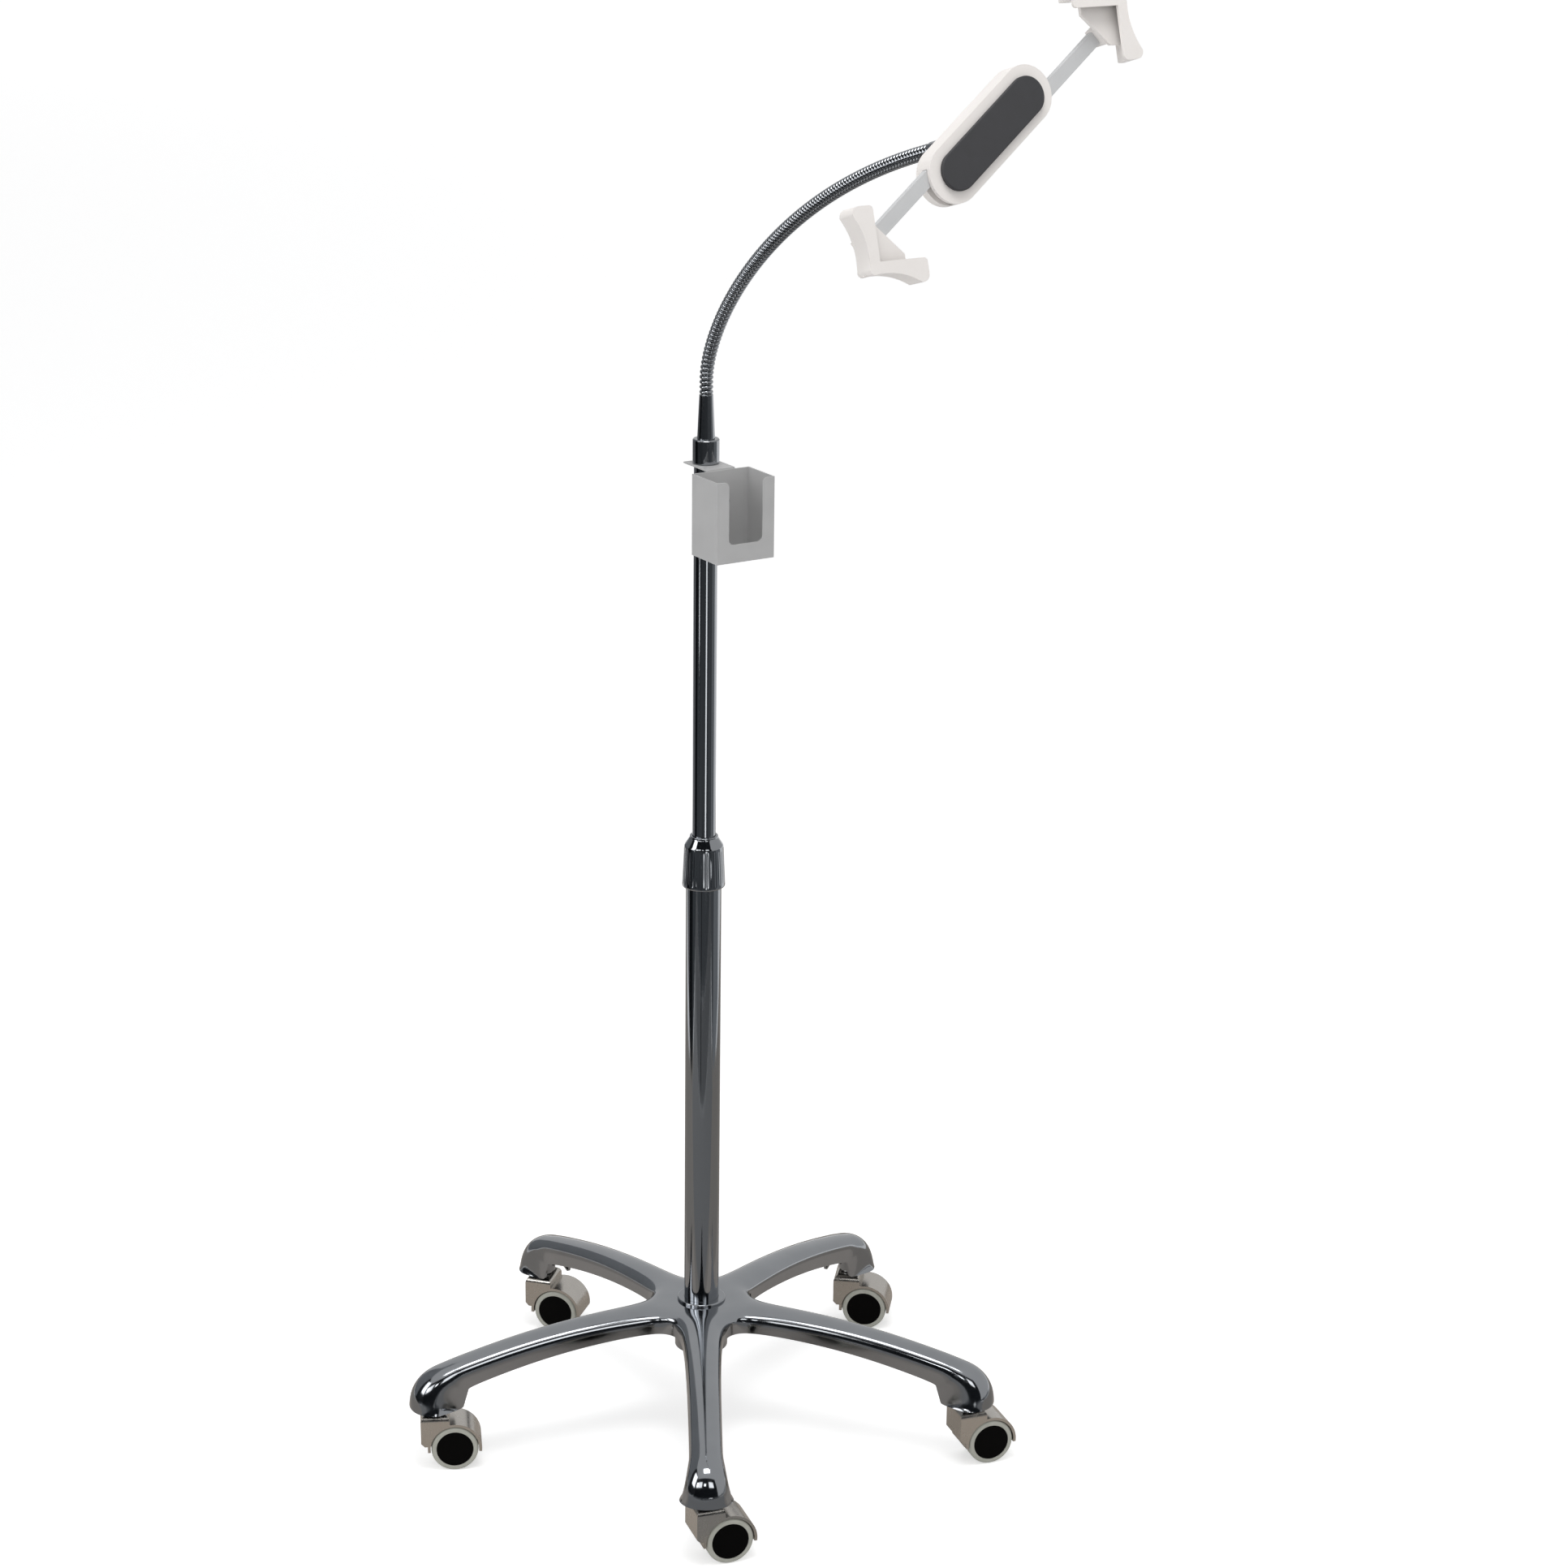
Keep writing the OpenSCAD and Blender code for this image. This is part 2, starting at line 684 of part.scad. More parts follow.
// Pocket
// The cut-out in the pocket's front, upright from its sill, with rounded corners at its foot and its mouth
module notch() {
    mouth = pocket_h - notch_sill - notch_round;
    translate([-notch_w / 2 + notch_round, 0]) square([notch_w - 2 * notch_round, pocket_h]);
    translate([-notch_w / 2, notch_round]) square([notch_w, pocket_h]);
    for (side = [-1, 1]) translate([side * (notch_w / 2 - notch_round), notch_round])
        circle(notch_round);
    difference() {
        translate([-notch_w / 2 - notch_round, mouth]) square([notch_w + 2 * notch_round, 2 * notch_round]);
        for (side = [-1, 1]) translate([side * (notch_w / 2 + notch_round), mouth]) circle(notch_round);
    }
}

module pocket() {
    front_y = pocket_front - sheet_t;
    depth = pocket_depth + 2 * sheet_t;
    color("silver") difference() {
        translate([-pocket_w / 2, front_y, pocket_floor]) cube([pocket_w, depth, pocket_h]);
        translate([-pocket_w / 2 + sheet_t, pocket_front, pocket_floor + sheet_t])
            cube([pocket_w - 2 * sheet_t, pocket_depth, pocket_h]);
        translate([0, pocket_front + sheet_t, pocket_floor + notch_sill]) rotate([90, 0, 0])
            linear_extrude(3 * sheet_t) notch();
        screw_places() cylinder(r = rivet_r + fixed_fit, h = 6 * sheet_t, center = true);
    }
}

// The two screws that hold the pocket to its bracket, with Z towards the front
module screw_places() {
    for (side = [-1, 1]) translate([side * tongue_half_w / 2, -pocket_gap, pocket_top - tab_h + rivet_up])
        rotate([90, 0, 0]) children();
}

module pocket_bracket() {
    color("darkgray") difference() {
        union() {
            translate([-tongue_half_w, -pocket_gap, pocket_top])
                cube([2 * tongue_half_w, pocket_gap + tongue_back, sheet_t]);
            translate([-tongue_half_w, -pocket_gap, pocket_top - tab_h])
                cube([2 * tongue_half_w, sheet_t, tab_h + sheet_t]);
        }
        translate([0, 0, pocket_top - past]) cylinder(r = upper_r + fixed_fit, h = 3 * sheet_t);
        screw_places() cylinder(r = rivet_r + fixed_fit, h = 6 * sheet_t, center = true);
    }
}

module pocket_screws() {
    head_h = 1.5;
    color("lightgray") screw_places() {
        translate([0, 0, -sheet_t - head_h]) cylinder(r = 2 * rivet_r, h = head_h);
        translate([0, 0, -sheet_t]) cylinder(r = rivet_r, h = 2 * sheet_t);
    }
}

// Neck
module neck_socket() {
    color("silver") rotate_extrude() difference() {
        polygon([
            [0, sleeve_top - spigot_l], [spigot_r, sleeve_top - spigot_l], [spigot_r, sleeve_top],
            [socket_low_r, sleeve_top], [neck_r, neck_foot], [0, neck_foot]
        ]);
        translate([0, sleeve_top]) square([neck_bore_r, 2 * socket_h]);
    }
}

// Points of the gooseneck, as distance to the front and height, straight for a diameter at each end
holder_way = [cos(holder_tilt), sin(holder_tilt)];
neck_straight = 2 * neck_r;
neck_from = [0, neck_foot + neck_straight];
neck_tip = [holder_reach, holder_z] - neck_back * holder_way;
neck_to = neck_tip - neck_straight * holder_way;
neck_controls = [neck_from, neck_from + [0, neck_rise], neck_to - neck_run * holder_way, neck_to];
function bezier(p, t) = pow(1 - t, 3) * p[0] + 3 * pow(1 - t, 2) * t * p[1]
    + 3 * (1 - t) * t * t * p[2] + t * t * t * p[3];
neck_points = concat(
    [[0, neck_foot]],
    [for (i = [0 : neck_steps]) bezier(neck_controls, i / neck_steps)],
    [neck_tip]
);
neck_runs = [for (i = 0, s = 0; i < len(neck_points);
    s = s + (i + 1 < len(neck_points) ? norm(neck_points[i + 1] - neck_points[i]) : 0), i = i + 1) s];
neck_out = [for (i = [0 : len(neck_points) - 1]) [neck_runs[i], neck_points[i].x]];
neck_up = [for (i = [0 : len(neck_points) - 1]) [neck_runs[i], neck_points[i].y]];
neck_length = neck_runs[len(neck_runs) - 1];
rib_count = floor(neck_length / rib_pitch);
function neck_at(s) = [lookup(s, neck_out), lookup(s, neck_up)];
function neck_way(s) = let (
    a = neck_at(max(s - rib_pitch / 2, 0)),
    b = neck_at(min(s + rib_pitch / 2, neck_length))
) (b - a) / norm(b - a);
function neck_ring(s, r) = let (at = neck_at(s), way = neck_way(s))
    [for (i = [0 : neck_sides - 1]) let (a = 360 * (i + 0.5) / neck_sides)
        [r * cos(a), -at.x + r * sin(a) * way.y, at.y + r * sin(a) * way.x]];

module gooseneck() {
    step = neck_length / rib_count;
    outer = [for (i = [0 : 2 * rib_count]) neck_ring(i * step / 2, neck_r - rib_depth * ((i + 1) % 2))];
    inner = [for (i = [0 : bore_rings - 1]) neck_ring(neck_length * i / (bore_rings - 1), neck_bore_r)];
    color("silver") hose(outer, inner);
}

// A closed hose from rings on its outside and rings on its bore
module hose(outer, inner) {
    n = neck_sides;
    shift = len(outer) * n;
    outer_end = (len(outer) - 1) * n;
    inner_end = shift + (len(inner) - 1) * n;
    skin = [for (k = [0 : len(outer) - 2], i = [0 : n - 1])
        let (a = k * n + i, b = k * n + (i + 1) % n) each [[a, b, b + n], [a, b + n, a + n]]];
    bore = [for (k = [0 : len(inner) - 2], i = [0 : n - 1])
        let (a = shift + k * n + i, b = shift + k * n + (i + 1) % n) each [[a, b + n, b], [a, a + n, b + n]]];
    ends = [for (i = [0 : n - 1]) let (j = (i + 1) % n) each [
        [i, shift + i, j], [j, shift + i, shift + j],
        [outer_end + i, outer_end + j, inner_end + i], [outer_end + j, inner_end + j, inner_end + i]]];
    points = [for (ring = concat(outer, inner)) each ring];
    polyhedron(points, concat(skin, bore, ends), convexity = 10);
}

// Everything from here rides on the holder's own frame: X to the right, Y up its face, Z to the front
module at_holder() {
    translate([0, -holder_reach, holder_z]) rotate([90 - holder_tilt, 0, 0]) children();
}

module neck_end() {
    edge = 1.2;
    color("silver") at_holder() translate([0, 0, -neck_back]) rotate_extrude()
        polygon([
            [0, fixed_fit], [neck_r, fixed_fit], [tip_r, edge], [tip_r, tip_l - edge], [tip_r - edge, tip_l],
            [0, tip_l]
        ]);
}

module ball_stud() {
    nut_h = 3;
    nut_r = tip_r - 2;
    color("lightgray") at_holder() {
        translate([0, 0, -ball_back]) sphere(ball_r);
        translate([0, 0, -tip_back]) cylinder(r = ball_neck_r, h = tip_back - ball_back);
        translate([0, 0, -tip_back]) cylinder(r = nut_r, h = nut_h, $fn = 6);
    }
}

// Ball joint
module friction_cup() {
    rim = 3;
    color("ivory") at_holder() difference() {
        translate([0, 0, -ball_back]) sphere(cup_r);
        translate([0, 0, -ball_back]) sphere(ball_r + run_fit);
        translate([0, 0, -ball_back - rim - cup_r]) cylinder(r = 2 * cup_r, h = cup_r);
    }
}

module ball_socket() {
    mouth = 7;
    pin_l = rear_t - 2;
    color("white") at_holder() difference() {
        union() {
            translate([0, 0, -ball_back - mouth])
                cylinder(r = socket_r, h = ball_back + mouth + case_back - air);
            translate([0, 0, case_back - air - swivel_plate_t])
                cylinder(r = swivel_plate_r, h = swivel_plate_t);
            translate([0, 0, case_back - air - past]) cylinder(r = swivel_pin_r, h = pin_l + air + past);
        }
        translate([0, 0, -ball_back]) sphere(cup_r + run_fit);
    }
}

module lock_ring() {
    ring_l = 12;
    ring_low = -ball_back - 5;
    flutes = 12;
    flute_r = 2;
    color("white") at_holder() translate([0, 0, ring_low]) difference() {
        linear_extrude(ring_l) ring_2d(lock_ring_r, socket_r + run_fit);
        for (i = [0 : flutes - 1]) rotate(360 / flutes * i) translate([lock_ring_r + flute_r / 2, 0, -past])
            cylinder(r = flute_r, h = ring_l + 2 * past);
    }
}

// Holder casing, in the rail's frame: X along the rail towards the upper grip
module at_rail() {
    at_holder() rotate(diagonal) children();
}

module case_screw_places() {
    for (x = [-1, 1], y = [-1, 1])
        translate([x * case_screw_x, y * (channel_half_w + case_half_w) / 2, 0]) children();
}

module rear_cover() {
    color("white") at_rail() difference() {
        between(case_back, case_front - front_t) stadium(case_half_l, case_half_w);
        translate([-case_half_l - past, -channel_half_w, channel_back])
            cube([2 * (case_half_l + past), 2 * channel_half_w, arm_t + 2 * air + past]);
        translate([0, 0, case_back - past]) cylinder(r = swivel_pin_r + run_fit, h = rear_t);
        translate([-knob_at, knob_y, case_back - past])
            cylinder(r = knob_screw_r + run_fit, h = rear_t + 2 * past);
        case_screw_places() translate([0, 0, case_back - past]) {
            cylinder(r = screw_r + fixed_fit, h = case_front - case_back + 2 * past);
            cylinder(r = screw_head_r + fixed_fit, h = screw_head_h + past);
        }
    }
    color("white") at_rail() translate([0, 0, channel_back]) cylinder(r = pinion_pin_r, h = arm_t + air);
}

module front_cover() {
    color("white") at_rail() difference() {
        between(case_front - front_t, case_front) stadium(case_half_l, case_half_w);
        case_screw_places() translate([0, 0, case_front - front_t - past])
            cylinder(r = screw_r + fixed_fit, h = front_t);
    }
}

module rest_pad() {
    color("dimgray") at_rail() between(case_front, 0) stadium(rest_half_l, rest_half_w);
}

module cover_screws() {
    color("lightgray") at_rail() case_screw_places() {
        translate([0, 0, case_back]) cylinder(r = screw_head_r, h = screw_head_h);
        translate([0, 0, case_back]) cylinder(r = screw_r, h = case_front - case_back - 2 * past);
    }
}

// Involute teeth: the half angle of a tooth at a radius
function roll_at(r) = sqrt(max(pow(r / base_r, 2) - 1, 0)) * 180 / PI;
function involute_at(r) = r <= base_r ? 0 : roll_at(r) - acos(base_r / r);
function tooth_half(r) = (tooth_pitch / 2 - backlash) / 2 / pitch_r * 180 / PI
    + involute_at(pitch_r) - involute_at(r);
tooth_radii = [
    pitch_r - dedendum, base_r, (base_r + pitch_r) / 2, pitch_r, pitch_r + addendum / 2, pitch_r + addendum
];

module pinion() {
    step = 360 / pinion_teeth;
    color("gainsboro") at_rail() between(arm_back, arm_front) difference() {
        polygon([for (t = [0 : pinion_teeth - 1]) each concat(
            [for (r = tooth_radii) let (a = step * t - tooth_half(r)) r * [cos(a), sin(a)]],
            [for (r = reversed(tooth_radii)) let (a = step * t + tooth_half(r)) r * [cos(a), sin(a)]]
        )]);
        circle(pinion_pin_r + run_fit);
    }
}

// A rack arm that runs to the lower grip, with its teeth on the side of the pinion
module rack_arm() {
    first = ceil(arm_inner / tooth_pitch) + 1;
    last = ceil((grip_travel + pitch_r) / tooth_pitch);
    crest = pitch_r - addendum;
    half = (tooth_pitch / 2 - backlash) / 2;
    wide = half + dedendum * tan(pressure);
    narrow = half - addendum * tan(pressure);
    bite = 0.1;
    rotate(180) between(arm_back, arm_front) mirror([0, 1]) union() {
        translate([arm_inner, rack_root]) square([block_end - arm_inner, arm_edge - rack_root]);
        for (t = [first : last]) let (x = (t - 0.5) * tooth_pitch)
            polygon([[x - wide, rack_root + bite], [x - wide, rack_root], [x - narrow, crest],
                [x + narrow, crest], [x + wide, rack_root], [x + wide, rack_root + bite]]);
    }
}

module grip_screw_places() {
    for (f = grip_screw_shares)
        translate([-mix(block_start, block_end, f), (rack_root + arm_edge) / 2, arm_back - block_floor])
            children();
}

// The upper arm and grip are the lower ones turned half round
module at_upper() {
    at_holder() rotate(180) children();
}

module arm_solid() {
    difference() {
        rotate(diagonal) rack_arm();
        rotate(diagonal) grip_screw_places()
            cylinder(r = screw_r + fixed_fit, h = block_floor + arm_t - past);
    }
}

module arm_lower() {
    color("gainsboro") at_holder() arm_solid();
}

module arm_upper() {
    color("gainsboro") at_upper() arm_solid();
}

// Corner grip, drawn at the lower left corner of the held rectangle with its legs along X and Y
module leg_2d(inner) {
    left = -lobe_out + lobe_r;
    width = lobe_out + inner;
    reach = leg_l + grip_wall;
    difference() {
        union() {
            translate([-lobe_out, -grip_wall]) square([width, reach - lobe_r]);
            translate([left, -grip_wall]) square([width - lobe_r - tip_round, reach]);
            translate([left, -grip_wall]) square([width - lobe_r, reach - tip_round]);
            translate([left, leg_l - lobe_r]) circle(lobe_r);
            translate([inner - tip_round, leg_l - tip_round]) circle(tip_round);
        }
        translate([-grip_wall - scallop_r, scallop_y]) circle(scallop_r);
    }
}

module corner_2d(inner) {
    difference() {
        union() {
            leg_2d(inner);
            mirror([1, -1, 0]) leg_2d(inner);
        }
        translate([-lobe_out, -lobe_out]) square(lobe_out);
    }
    circle(corner_r);
}

module grip_solid() {
    shelf_l = 0.72 * leg_l;
    shelf_end = 12;
    difference() {
        union() {
            translate([-tablet_w / 2, -tablet_h / 2, 0]) {
                between(-grip_back, tablet_t + lip_t) difference() {
                    corner_2d(0);
                    translate([-pad_t, -pad_t]) square(2 * leg_l);
                }
                between(tablet_t, tablet_t + lip_t) corner_2d(lip_reach);
                between(-shelf_t, 0) polygon([
                    [-grip_wall, -grip_wall], [shelf_l, -grip_wall], [shelf_l, shelf_end],
                    [shelf_end, shelf_l], [-grip_wall, shelf_l]
                ]);
            }
            rotate(diagonal) translate([-block_end - block_wall, pitch_r, arm_back - block_floor]) cube([
                block_end + block_wall - block_start, arm_edge + block_side - pitch_r,
                block_floor - arm_back - shelf_t / 2
            ]);
        }
        rotate(diagonal) translate([-block_end, rack_root, arm_back] - fixed_fit * [1, 1, 1]) cube([
            block_end - block_start + past, arm_edge - rack_root + 2 * fixed_fit, arm_t + 2 * fixed_fit
        ]);
        rotate(diagonal) grip_screw_places() translate([0, 0, -past])
            cylinder(r = screw_r + fixed_fit, h = arm_t);
    }
}

module grip_lower() {
    color("white") at_holder() grip_solid();
}

module grip_upper() {
    color("white") at_upper() grip_solid();
}

module pad_solid() {
    pad_l = leg_l - lobe_r;
    translate([-tablet_w / 2, -tablet_h / 2, 0]) between(air, tablet_t - air) difference() {
        translate([-pad_t, -pad_t]) square(pad_l);
        square(pad_l);
    }
}

module pad_lower() {
    color("lightgray") at_holder() pad_solid();
}

module pad_upper() {
    color("lightgray") at_upper() pad_solid();
}

module grip_screws_solid() {
    rotate(diagonal) grip_screw_places() {
        translate([0, 0, -screw_head_h]) cylinder(r = screw_head_r, h = screw_head_h);
        cylinder(r = screw_r, h = block_floor + arm_t - 2 * past);
    }
}

module grip_screws_lower() {
    color("lightgray") at_holder() grip_screws_solid();
}

module grip_screws_upper() {
    color("lightgray") at_upper() grip_screws_solid();
}

module lock_knob() {
    color("dimgray") at_rail() translate([-knob_at, knob_y, case_back - knob_gap]) {
        translate([0, 0, -knob_t]) linear_extrude(knob_t) difference() {
            circle(knob_r);
            for (i = [0 : knob_lobes - 1]) rotate(360 / knob_lobes * i)
                translate([knob_r + knob_flute_out, 0]) circle(knob_flute_r);
        }
        translate([0, 0, -past]) cylinder(r = knob_screw_r, h = past + knob_gap + rear_t - air);
    }
}

base_spider();
hub_ring();
lower_tube();
column_plug();
base_bolt();
caster_stems();
collet();
lock_collar();
guide_bush();
upper_tube();
top_sleeve();
neck_socket();
pocket();
pocket_bracket();
pocket_screws();
gooseneck();
neck_end();
ball_stud();
friction_cup();
ball_socket();
lock_ring();
rear_cover();
front_cover();
rest_pad();
cover_screws();
pinion();
arm_lower();
arm_upper();
grip_lower();
grip_upper();
pad_lower();
pad_upper();
grip_screws_lower();
grip_screws_upper();
lock_knob();
for (k = [1 : arm_count]) {
    caster_hood(k);
    caster_wheel(k, 1);
    caster_wheel(k, -1);
    caster_cap(k, 1);
    caster_cap(k, -1);
}
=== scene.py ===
"""Looks of an adjustable tablet floor stand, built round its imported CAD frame.

Sizes are in millimetres and angles in degrees, except on the stage, which is in metres.
"""
import json
from math import asin, atan, cos, pi, radians, sin

import bmesh
import bpy
from mathutils import Matrix, Vector


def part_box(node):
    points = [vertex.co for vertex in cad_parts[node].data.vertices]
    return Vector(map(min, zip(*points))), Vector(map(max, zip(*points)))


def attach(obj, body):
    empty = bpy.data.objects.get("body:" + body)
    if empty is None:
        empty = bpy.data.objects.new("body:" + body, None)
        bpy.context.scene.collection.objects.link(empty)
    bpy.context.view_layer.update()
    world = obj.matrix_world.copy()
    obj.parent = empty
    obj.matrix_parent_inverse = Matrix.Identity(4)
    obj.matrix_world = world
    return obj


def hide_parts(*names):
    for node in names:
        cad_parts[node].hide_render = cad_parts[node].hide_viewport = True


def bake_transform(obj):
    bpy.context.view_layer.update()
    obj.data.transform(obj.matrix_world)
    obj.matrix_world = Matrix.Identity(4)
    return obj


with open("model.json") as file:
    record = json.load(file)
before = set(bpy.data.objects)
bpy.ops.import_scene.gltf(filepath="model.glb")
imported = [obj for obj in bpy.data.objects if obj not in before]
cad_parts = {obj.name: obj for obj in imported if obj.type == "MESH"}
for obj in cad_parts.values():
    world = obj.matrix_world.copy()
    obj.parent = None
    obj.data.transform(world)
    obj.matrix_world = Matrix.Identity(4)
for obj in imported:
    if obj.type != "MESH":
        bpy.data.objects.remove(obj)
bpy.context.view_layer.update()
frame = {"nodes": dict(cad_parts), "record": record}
MM = 0.001

# How near points are merged
WELD, COPY_WELD, RIB_WELD, SHELL_WELD = 0.001, 0.002, 0.02, 0.05

# Camera, fitted to the photograph
PICTURE_SENSOR = 36.0
LENS = 86.57
CAMERA_AT = (-1963, -3242, 1985)
CAMERA_DOWN = 18.07
CAMERA_HEADING = 57.53
CAMERA_ROLL = 0.71

# Base: its arms and hub
STEM_CIRCLE = 305
ARM_COUNT = 5
FIRST_ARM = -120
ARM_WALL = 3.2
SHELL_LEVELS = 3
COLUMN_HOLE_R = 19.2
HUB_TOP = 150
HUB_RING_R = 29
HUB_CROTCH_R = 56
# The rounding between two arms: inwards from the crotch, and down from the hub's top
CROTCH_ROUND = ((8, 0), (3, 1.5), (0, 7))
# Where the hub's top turns into an arm: along the arm, and across it
HUB_TO_ARM = ((45, -12), (48, 0), (45, 12))
# How far the hub's top runs level into an arm
ARM_FLAT = 60
ROOT_W, WAIST_W, FOOT_W = 44, 35, 58
ROOT_DEPTH, WAIST_DEPTH = 23, 28
# An arm's rounded top: angles across it, its height, and its roundness on the arm and at the foot's rim
ARCH_ANGLES = (90, 62, 35, 14, 0)
ARM_CROWN, FOOT_CROWN = 14, 27
ARCH_POWER, RIM_POWER = 0.82, 0.92
# Sections along an arm as shares: hub to waist, waist to bend, and the number of steps round the bend
ARM_STEPS, SHOULDER_STEPS, BEND_STEPS = (0.0, 0.25, 0.5, 0.75, 1.0), (0.35, 0.75), 5

# Base: its feet, with the boss and rib in each, and the sleeve under the hub
FOOT_Z, FOOT_SKIRT, FOOT_BEND = 70, 3, 42
FOOT_INNER, FOOT_INNER_W = 26, 37
FOOT_FLARE = 1.8
BOSS_R, BOSS_TOP, STEM_HOLE_R, STEM_HOLE_TOP = 13, 100, 5.6, 96
FOOT_RIB_L, FOOT_RIB_H, FOOT_RIB_LAP, FOOT_RIB_EDGE = 9, 21, 2, 0.6
SLEEVE_R, SLEEVE_FOOT, SLEEVE_FLOOR, SLEEVE_EDGE, BOLT_HOLE_R = 29, 95, 101, 0.8, 4.1

# Collar
COLLAR_FOOT, COLLAR_SHOULDER, COLLAR_TOP = 634, 680, 691
COLLAR_LOW_R, COLLAR_HIGH_R, COLLAR_RIM_R = 23, 20.9, 15.2
COLLAR_BORE_R, COLLAR_SEAT = 19.3, 660.3
COLLAR_THROAT_R, COLLAR_MOUTH_R = 13.8, 12.8
COLLAR_LIP, COLLAR_SEAT_STEP = 2, 1.6
COLLAR_FOOT_ROUND, COLLAR_SHOULDER_ROUND, COLLAR_RIM_ROUND = 2.2, 1.4, 0.9
# Rows up the collar's body as shares; the flutes run between the second and the last but one
COLLAR_ROWS = (0.09, 0.14, 0.4, 0.65, 0.89, 0.94)
FLUTES, FLUTE_DEPTH, FLUTE_STEPS = 44, 0.28, 6
ROW_SLACK, BORE_SLACK = 0.1, 0.5

# Neck
NECK_FOOT = 1167
NECK_R, NECK_GROOVE, NECK_SIDES = 7.2, 1.9, 28
# A rib's spacing, the steps and roundness of its crest, and the share of the spacing left beside it
RIB_PITCH, RIB_STEPS, RIB_POWER, RIB_GAP = 5.1, 8, 0.6, 0.06
# How far the curve holds the upright direction, and the holder's
NECK_RISE, NECK_RUN = 60, 280
NECK_BACK = 100
HOLDER_REACH, HOLDER_Z, HOLDER_TILT = 493, 1497, 16.5


# Shader helpers
def linear(hex_colour):
    """An sRGB hex colour as linear RGBA."""
    parts = [int(hex_colour[i:i + 2], 16) / 255 for i in (1, 3, 5)]
    return [p / 12.92 if p <= 0.04045 else ((p + 0.055) / 1.055) ** 2.4 for p in parts] + [1.0]


def add(tree, kind, inputs=None, **settings):
    """Adds a shader node: settings are its properties, and an input is a value or another node's socket."""
    made = tree.nodes.new(kind)
    for key, value in settings.items():
        setattr(made, key, value)
    for key, value in (inputs or {}).items():
        if isinstance(value, bpy.types.NodeSocket):
            tree.links.new(value, made.inputs[key])
        else:
            made.inputs[key].default_value = value
    return made


def surface(name, tones, rough, patch_mm, grain_mm, grain_depth_mm, stretch=(1, 1, 1), **shader):
    """A finish of two tones and two roughnesses, mottled in patches, over a bump of a real grain size."""
    made = bpy.data.materials.new(name)
    made.use_nodes = True
    tree = made.node_tree
    tree.nodes.clear()
    where = add(tree, "ShaderNodeTexCoord").outputs["Object"]
    where = add(tree, "ShaderNodeMapping", {"Vector": where, "Scale": stretch}).outputs["Vector"]
    patches = add(tree, "ShaderNodeTexNoise", {"Vector": where, "Scale": 1 / (patch_mm * MM), "Detail": 3.0,
                                               "Roughness": 0.55}).outputs["Fac"]
    colour = add(tree, "ShaderNodeMix", {0: patches, 6: linear(tones[0]), 7: linear(tones[1])},
                 data_type="RGBA").outputs[2]
    gloss = add(tree, "ShaderNodeMapRange", {"Value": patches, "From Min": 0.3, "From Max": 0.7,
                                             "To Min": rough[0], "To Max": rough[1]}).outputs["Result"]
    grain = add(tree, "ShaderNodeTexNoise", {"Vector": where, "Scale": 1 / (grain_mm * MM),
                                             "Detail": 2.0}).outputs["Fac"]
    bump = add(tree, "ShaderNodeBump", {"Height": grain, "Strength": 1.0,
                                        "Distance": grain_depth_mm * MM}).outputs["Normal"]
    inputs = {"Base Color": colour, "Roughness": gloss, "Normal": bump}
    inputs.update(shader)
    body = add(tree, "ShaderNodeBsdfPrincipled", inputs)
    add(tree, "ShaderNodeOutputMaterial", {"Surface": body.outputs["BSDF"]})
    return made


# Chromium plate over drawn steel tube: near mirror, a cool grey, with faint haze left by polishing
chrome_tube = surface("chromed_drawn_steel", ("#94979b", "#9ea1a5"), (0.06, 0.10), 60, 1.2, 0.0012,
                      (1, 1, 0.1), Metallic=1.0)
# Chromium plate over a polished casting: the same grey with a slight ripple of the casting under it
chrome_casting = surface("chromed_polished_casting", ("#94979b", "#a0a3a7"), (0.08, 0.14), 35, 9, 0.010,
                         Metallic=1.0)
# Chromium plate on die-cast hoods: paler and a little hazier than the arms
chrome_hood = surface("chromed_die_casting", ("#bab6b0", "#c8c4be"), (0.2, 0.3), 9, 6, 0.006, Metallic=1.0)
# Bright zinc plate on pressed steel: soft grey with a slight bloom
zinc_steel = surface("zinc_plated_steel", ("#a8abae", "#b9bcbf"), (0.28, 0.4), 6, 0.5, 0.004, Metallic=1.0)
# Silver powder coat baked on sheet: satin, with the coat's own fine orange peel
coated_sheet = surface("silver_powder_coated_sheet", ("#bcbcbc", "#c6c6c6"), (0.45, 0.58), 25, 0.9, 0.012,
                       Metallic=0.15)
# White ABS from a fine-textured mould: warm white, satin
white_abs = surface("moulded_white_abs", ("#efeae6", "#f5f1ee"), (0.38, 0.5), 22, 0.7, 0.004)
# Light grey acetal of the sliding arms: waxy and smooth
grey_acetal = surface("moulded_grey_acetal", ("#c6c7c8", "#d0d1d2"), (0.32, 0.42), 15, 0.6, 0.003)
# Natural nylon of plugs and bushes: milky and matt
natural_nylon = surface("natural_nylon", ("#d2d0c8", "#dcdad2"), (0.45, 0.55), 12, 0.6, 0.004)
# Grey-white nylon tyres of the twin wheels: satin, scuffed by rolling
tyre_nylon = surface("moulded_grey_white_nylon", ("#a6a79d", "#b8b8af"), (0.32, 0.5), 7, 0.6, 0.006)
# Black polypropylene wheel caps: flat black
black_cap = surface("moulded_black_polypropylene", ("#020202", "#060606"), (0.55, 0.7), 8, 0.5, 0.004,
                    **{"Specular IOR Level": 0.08})
# Black nylon of the lock knob: matt with a fine mould texture
black_knob = surface("moulded_black_nylon", ("#18181a", "#202022"), (0.5, 0.62), 8, 0.5, 0.006)
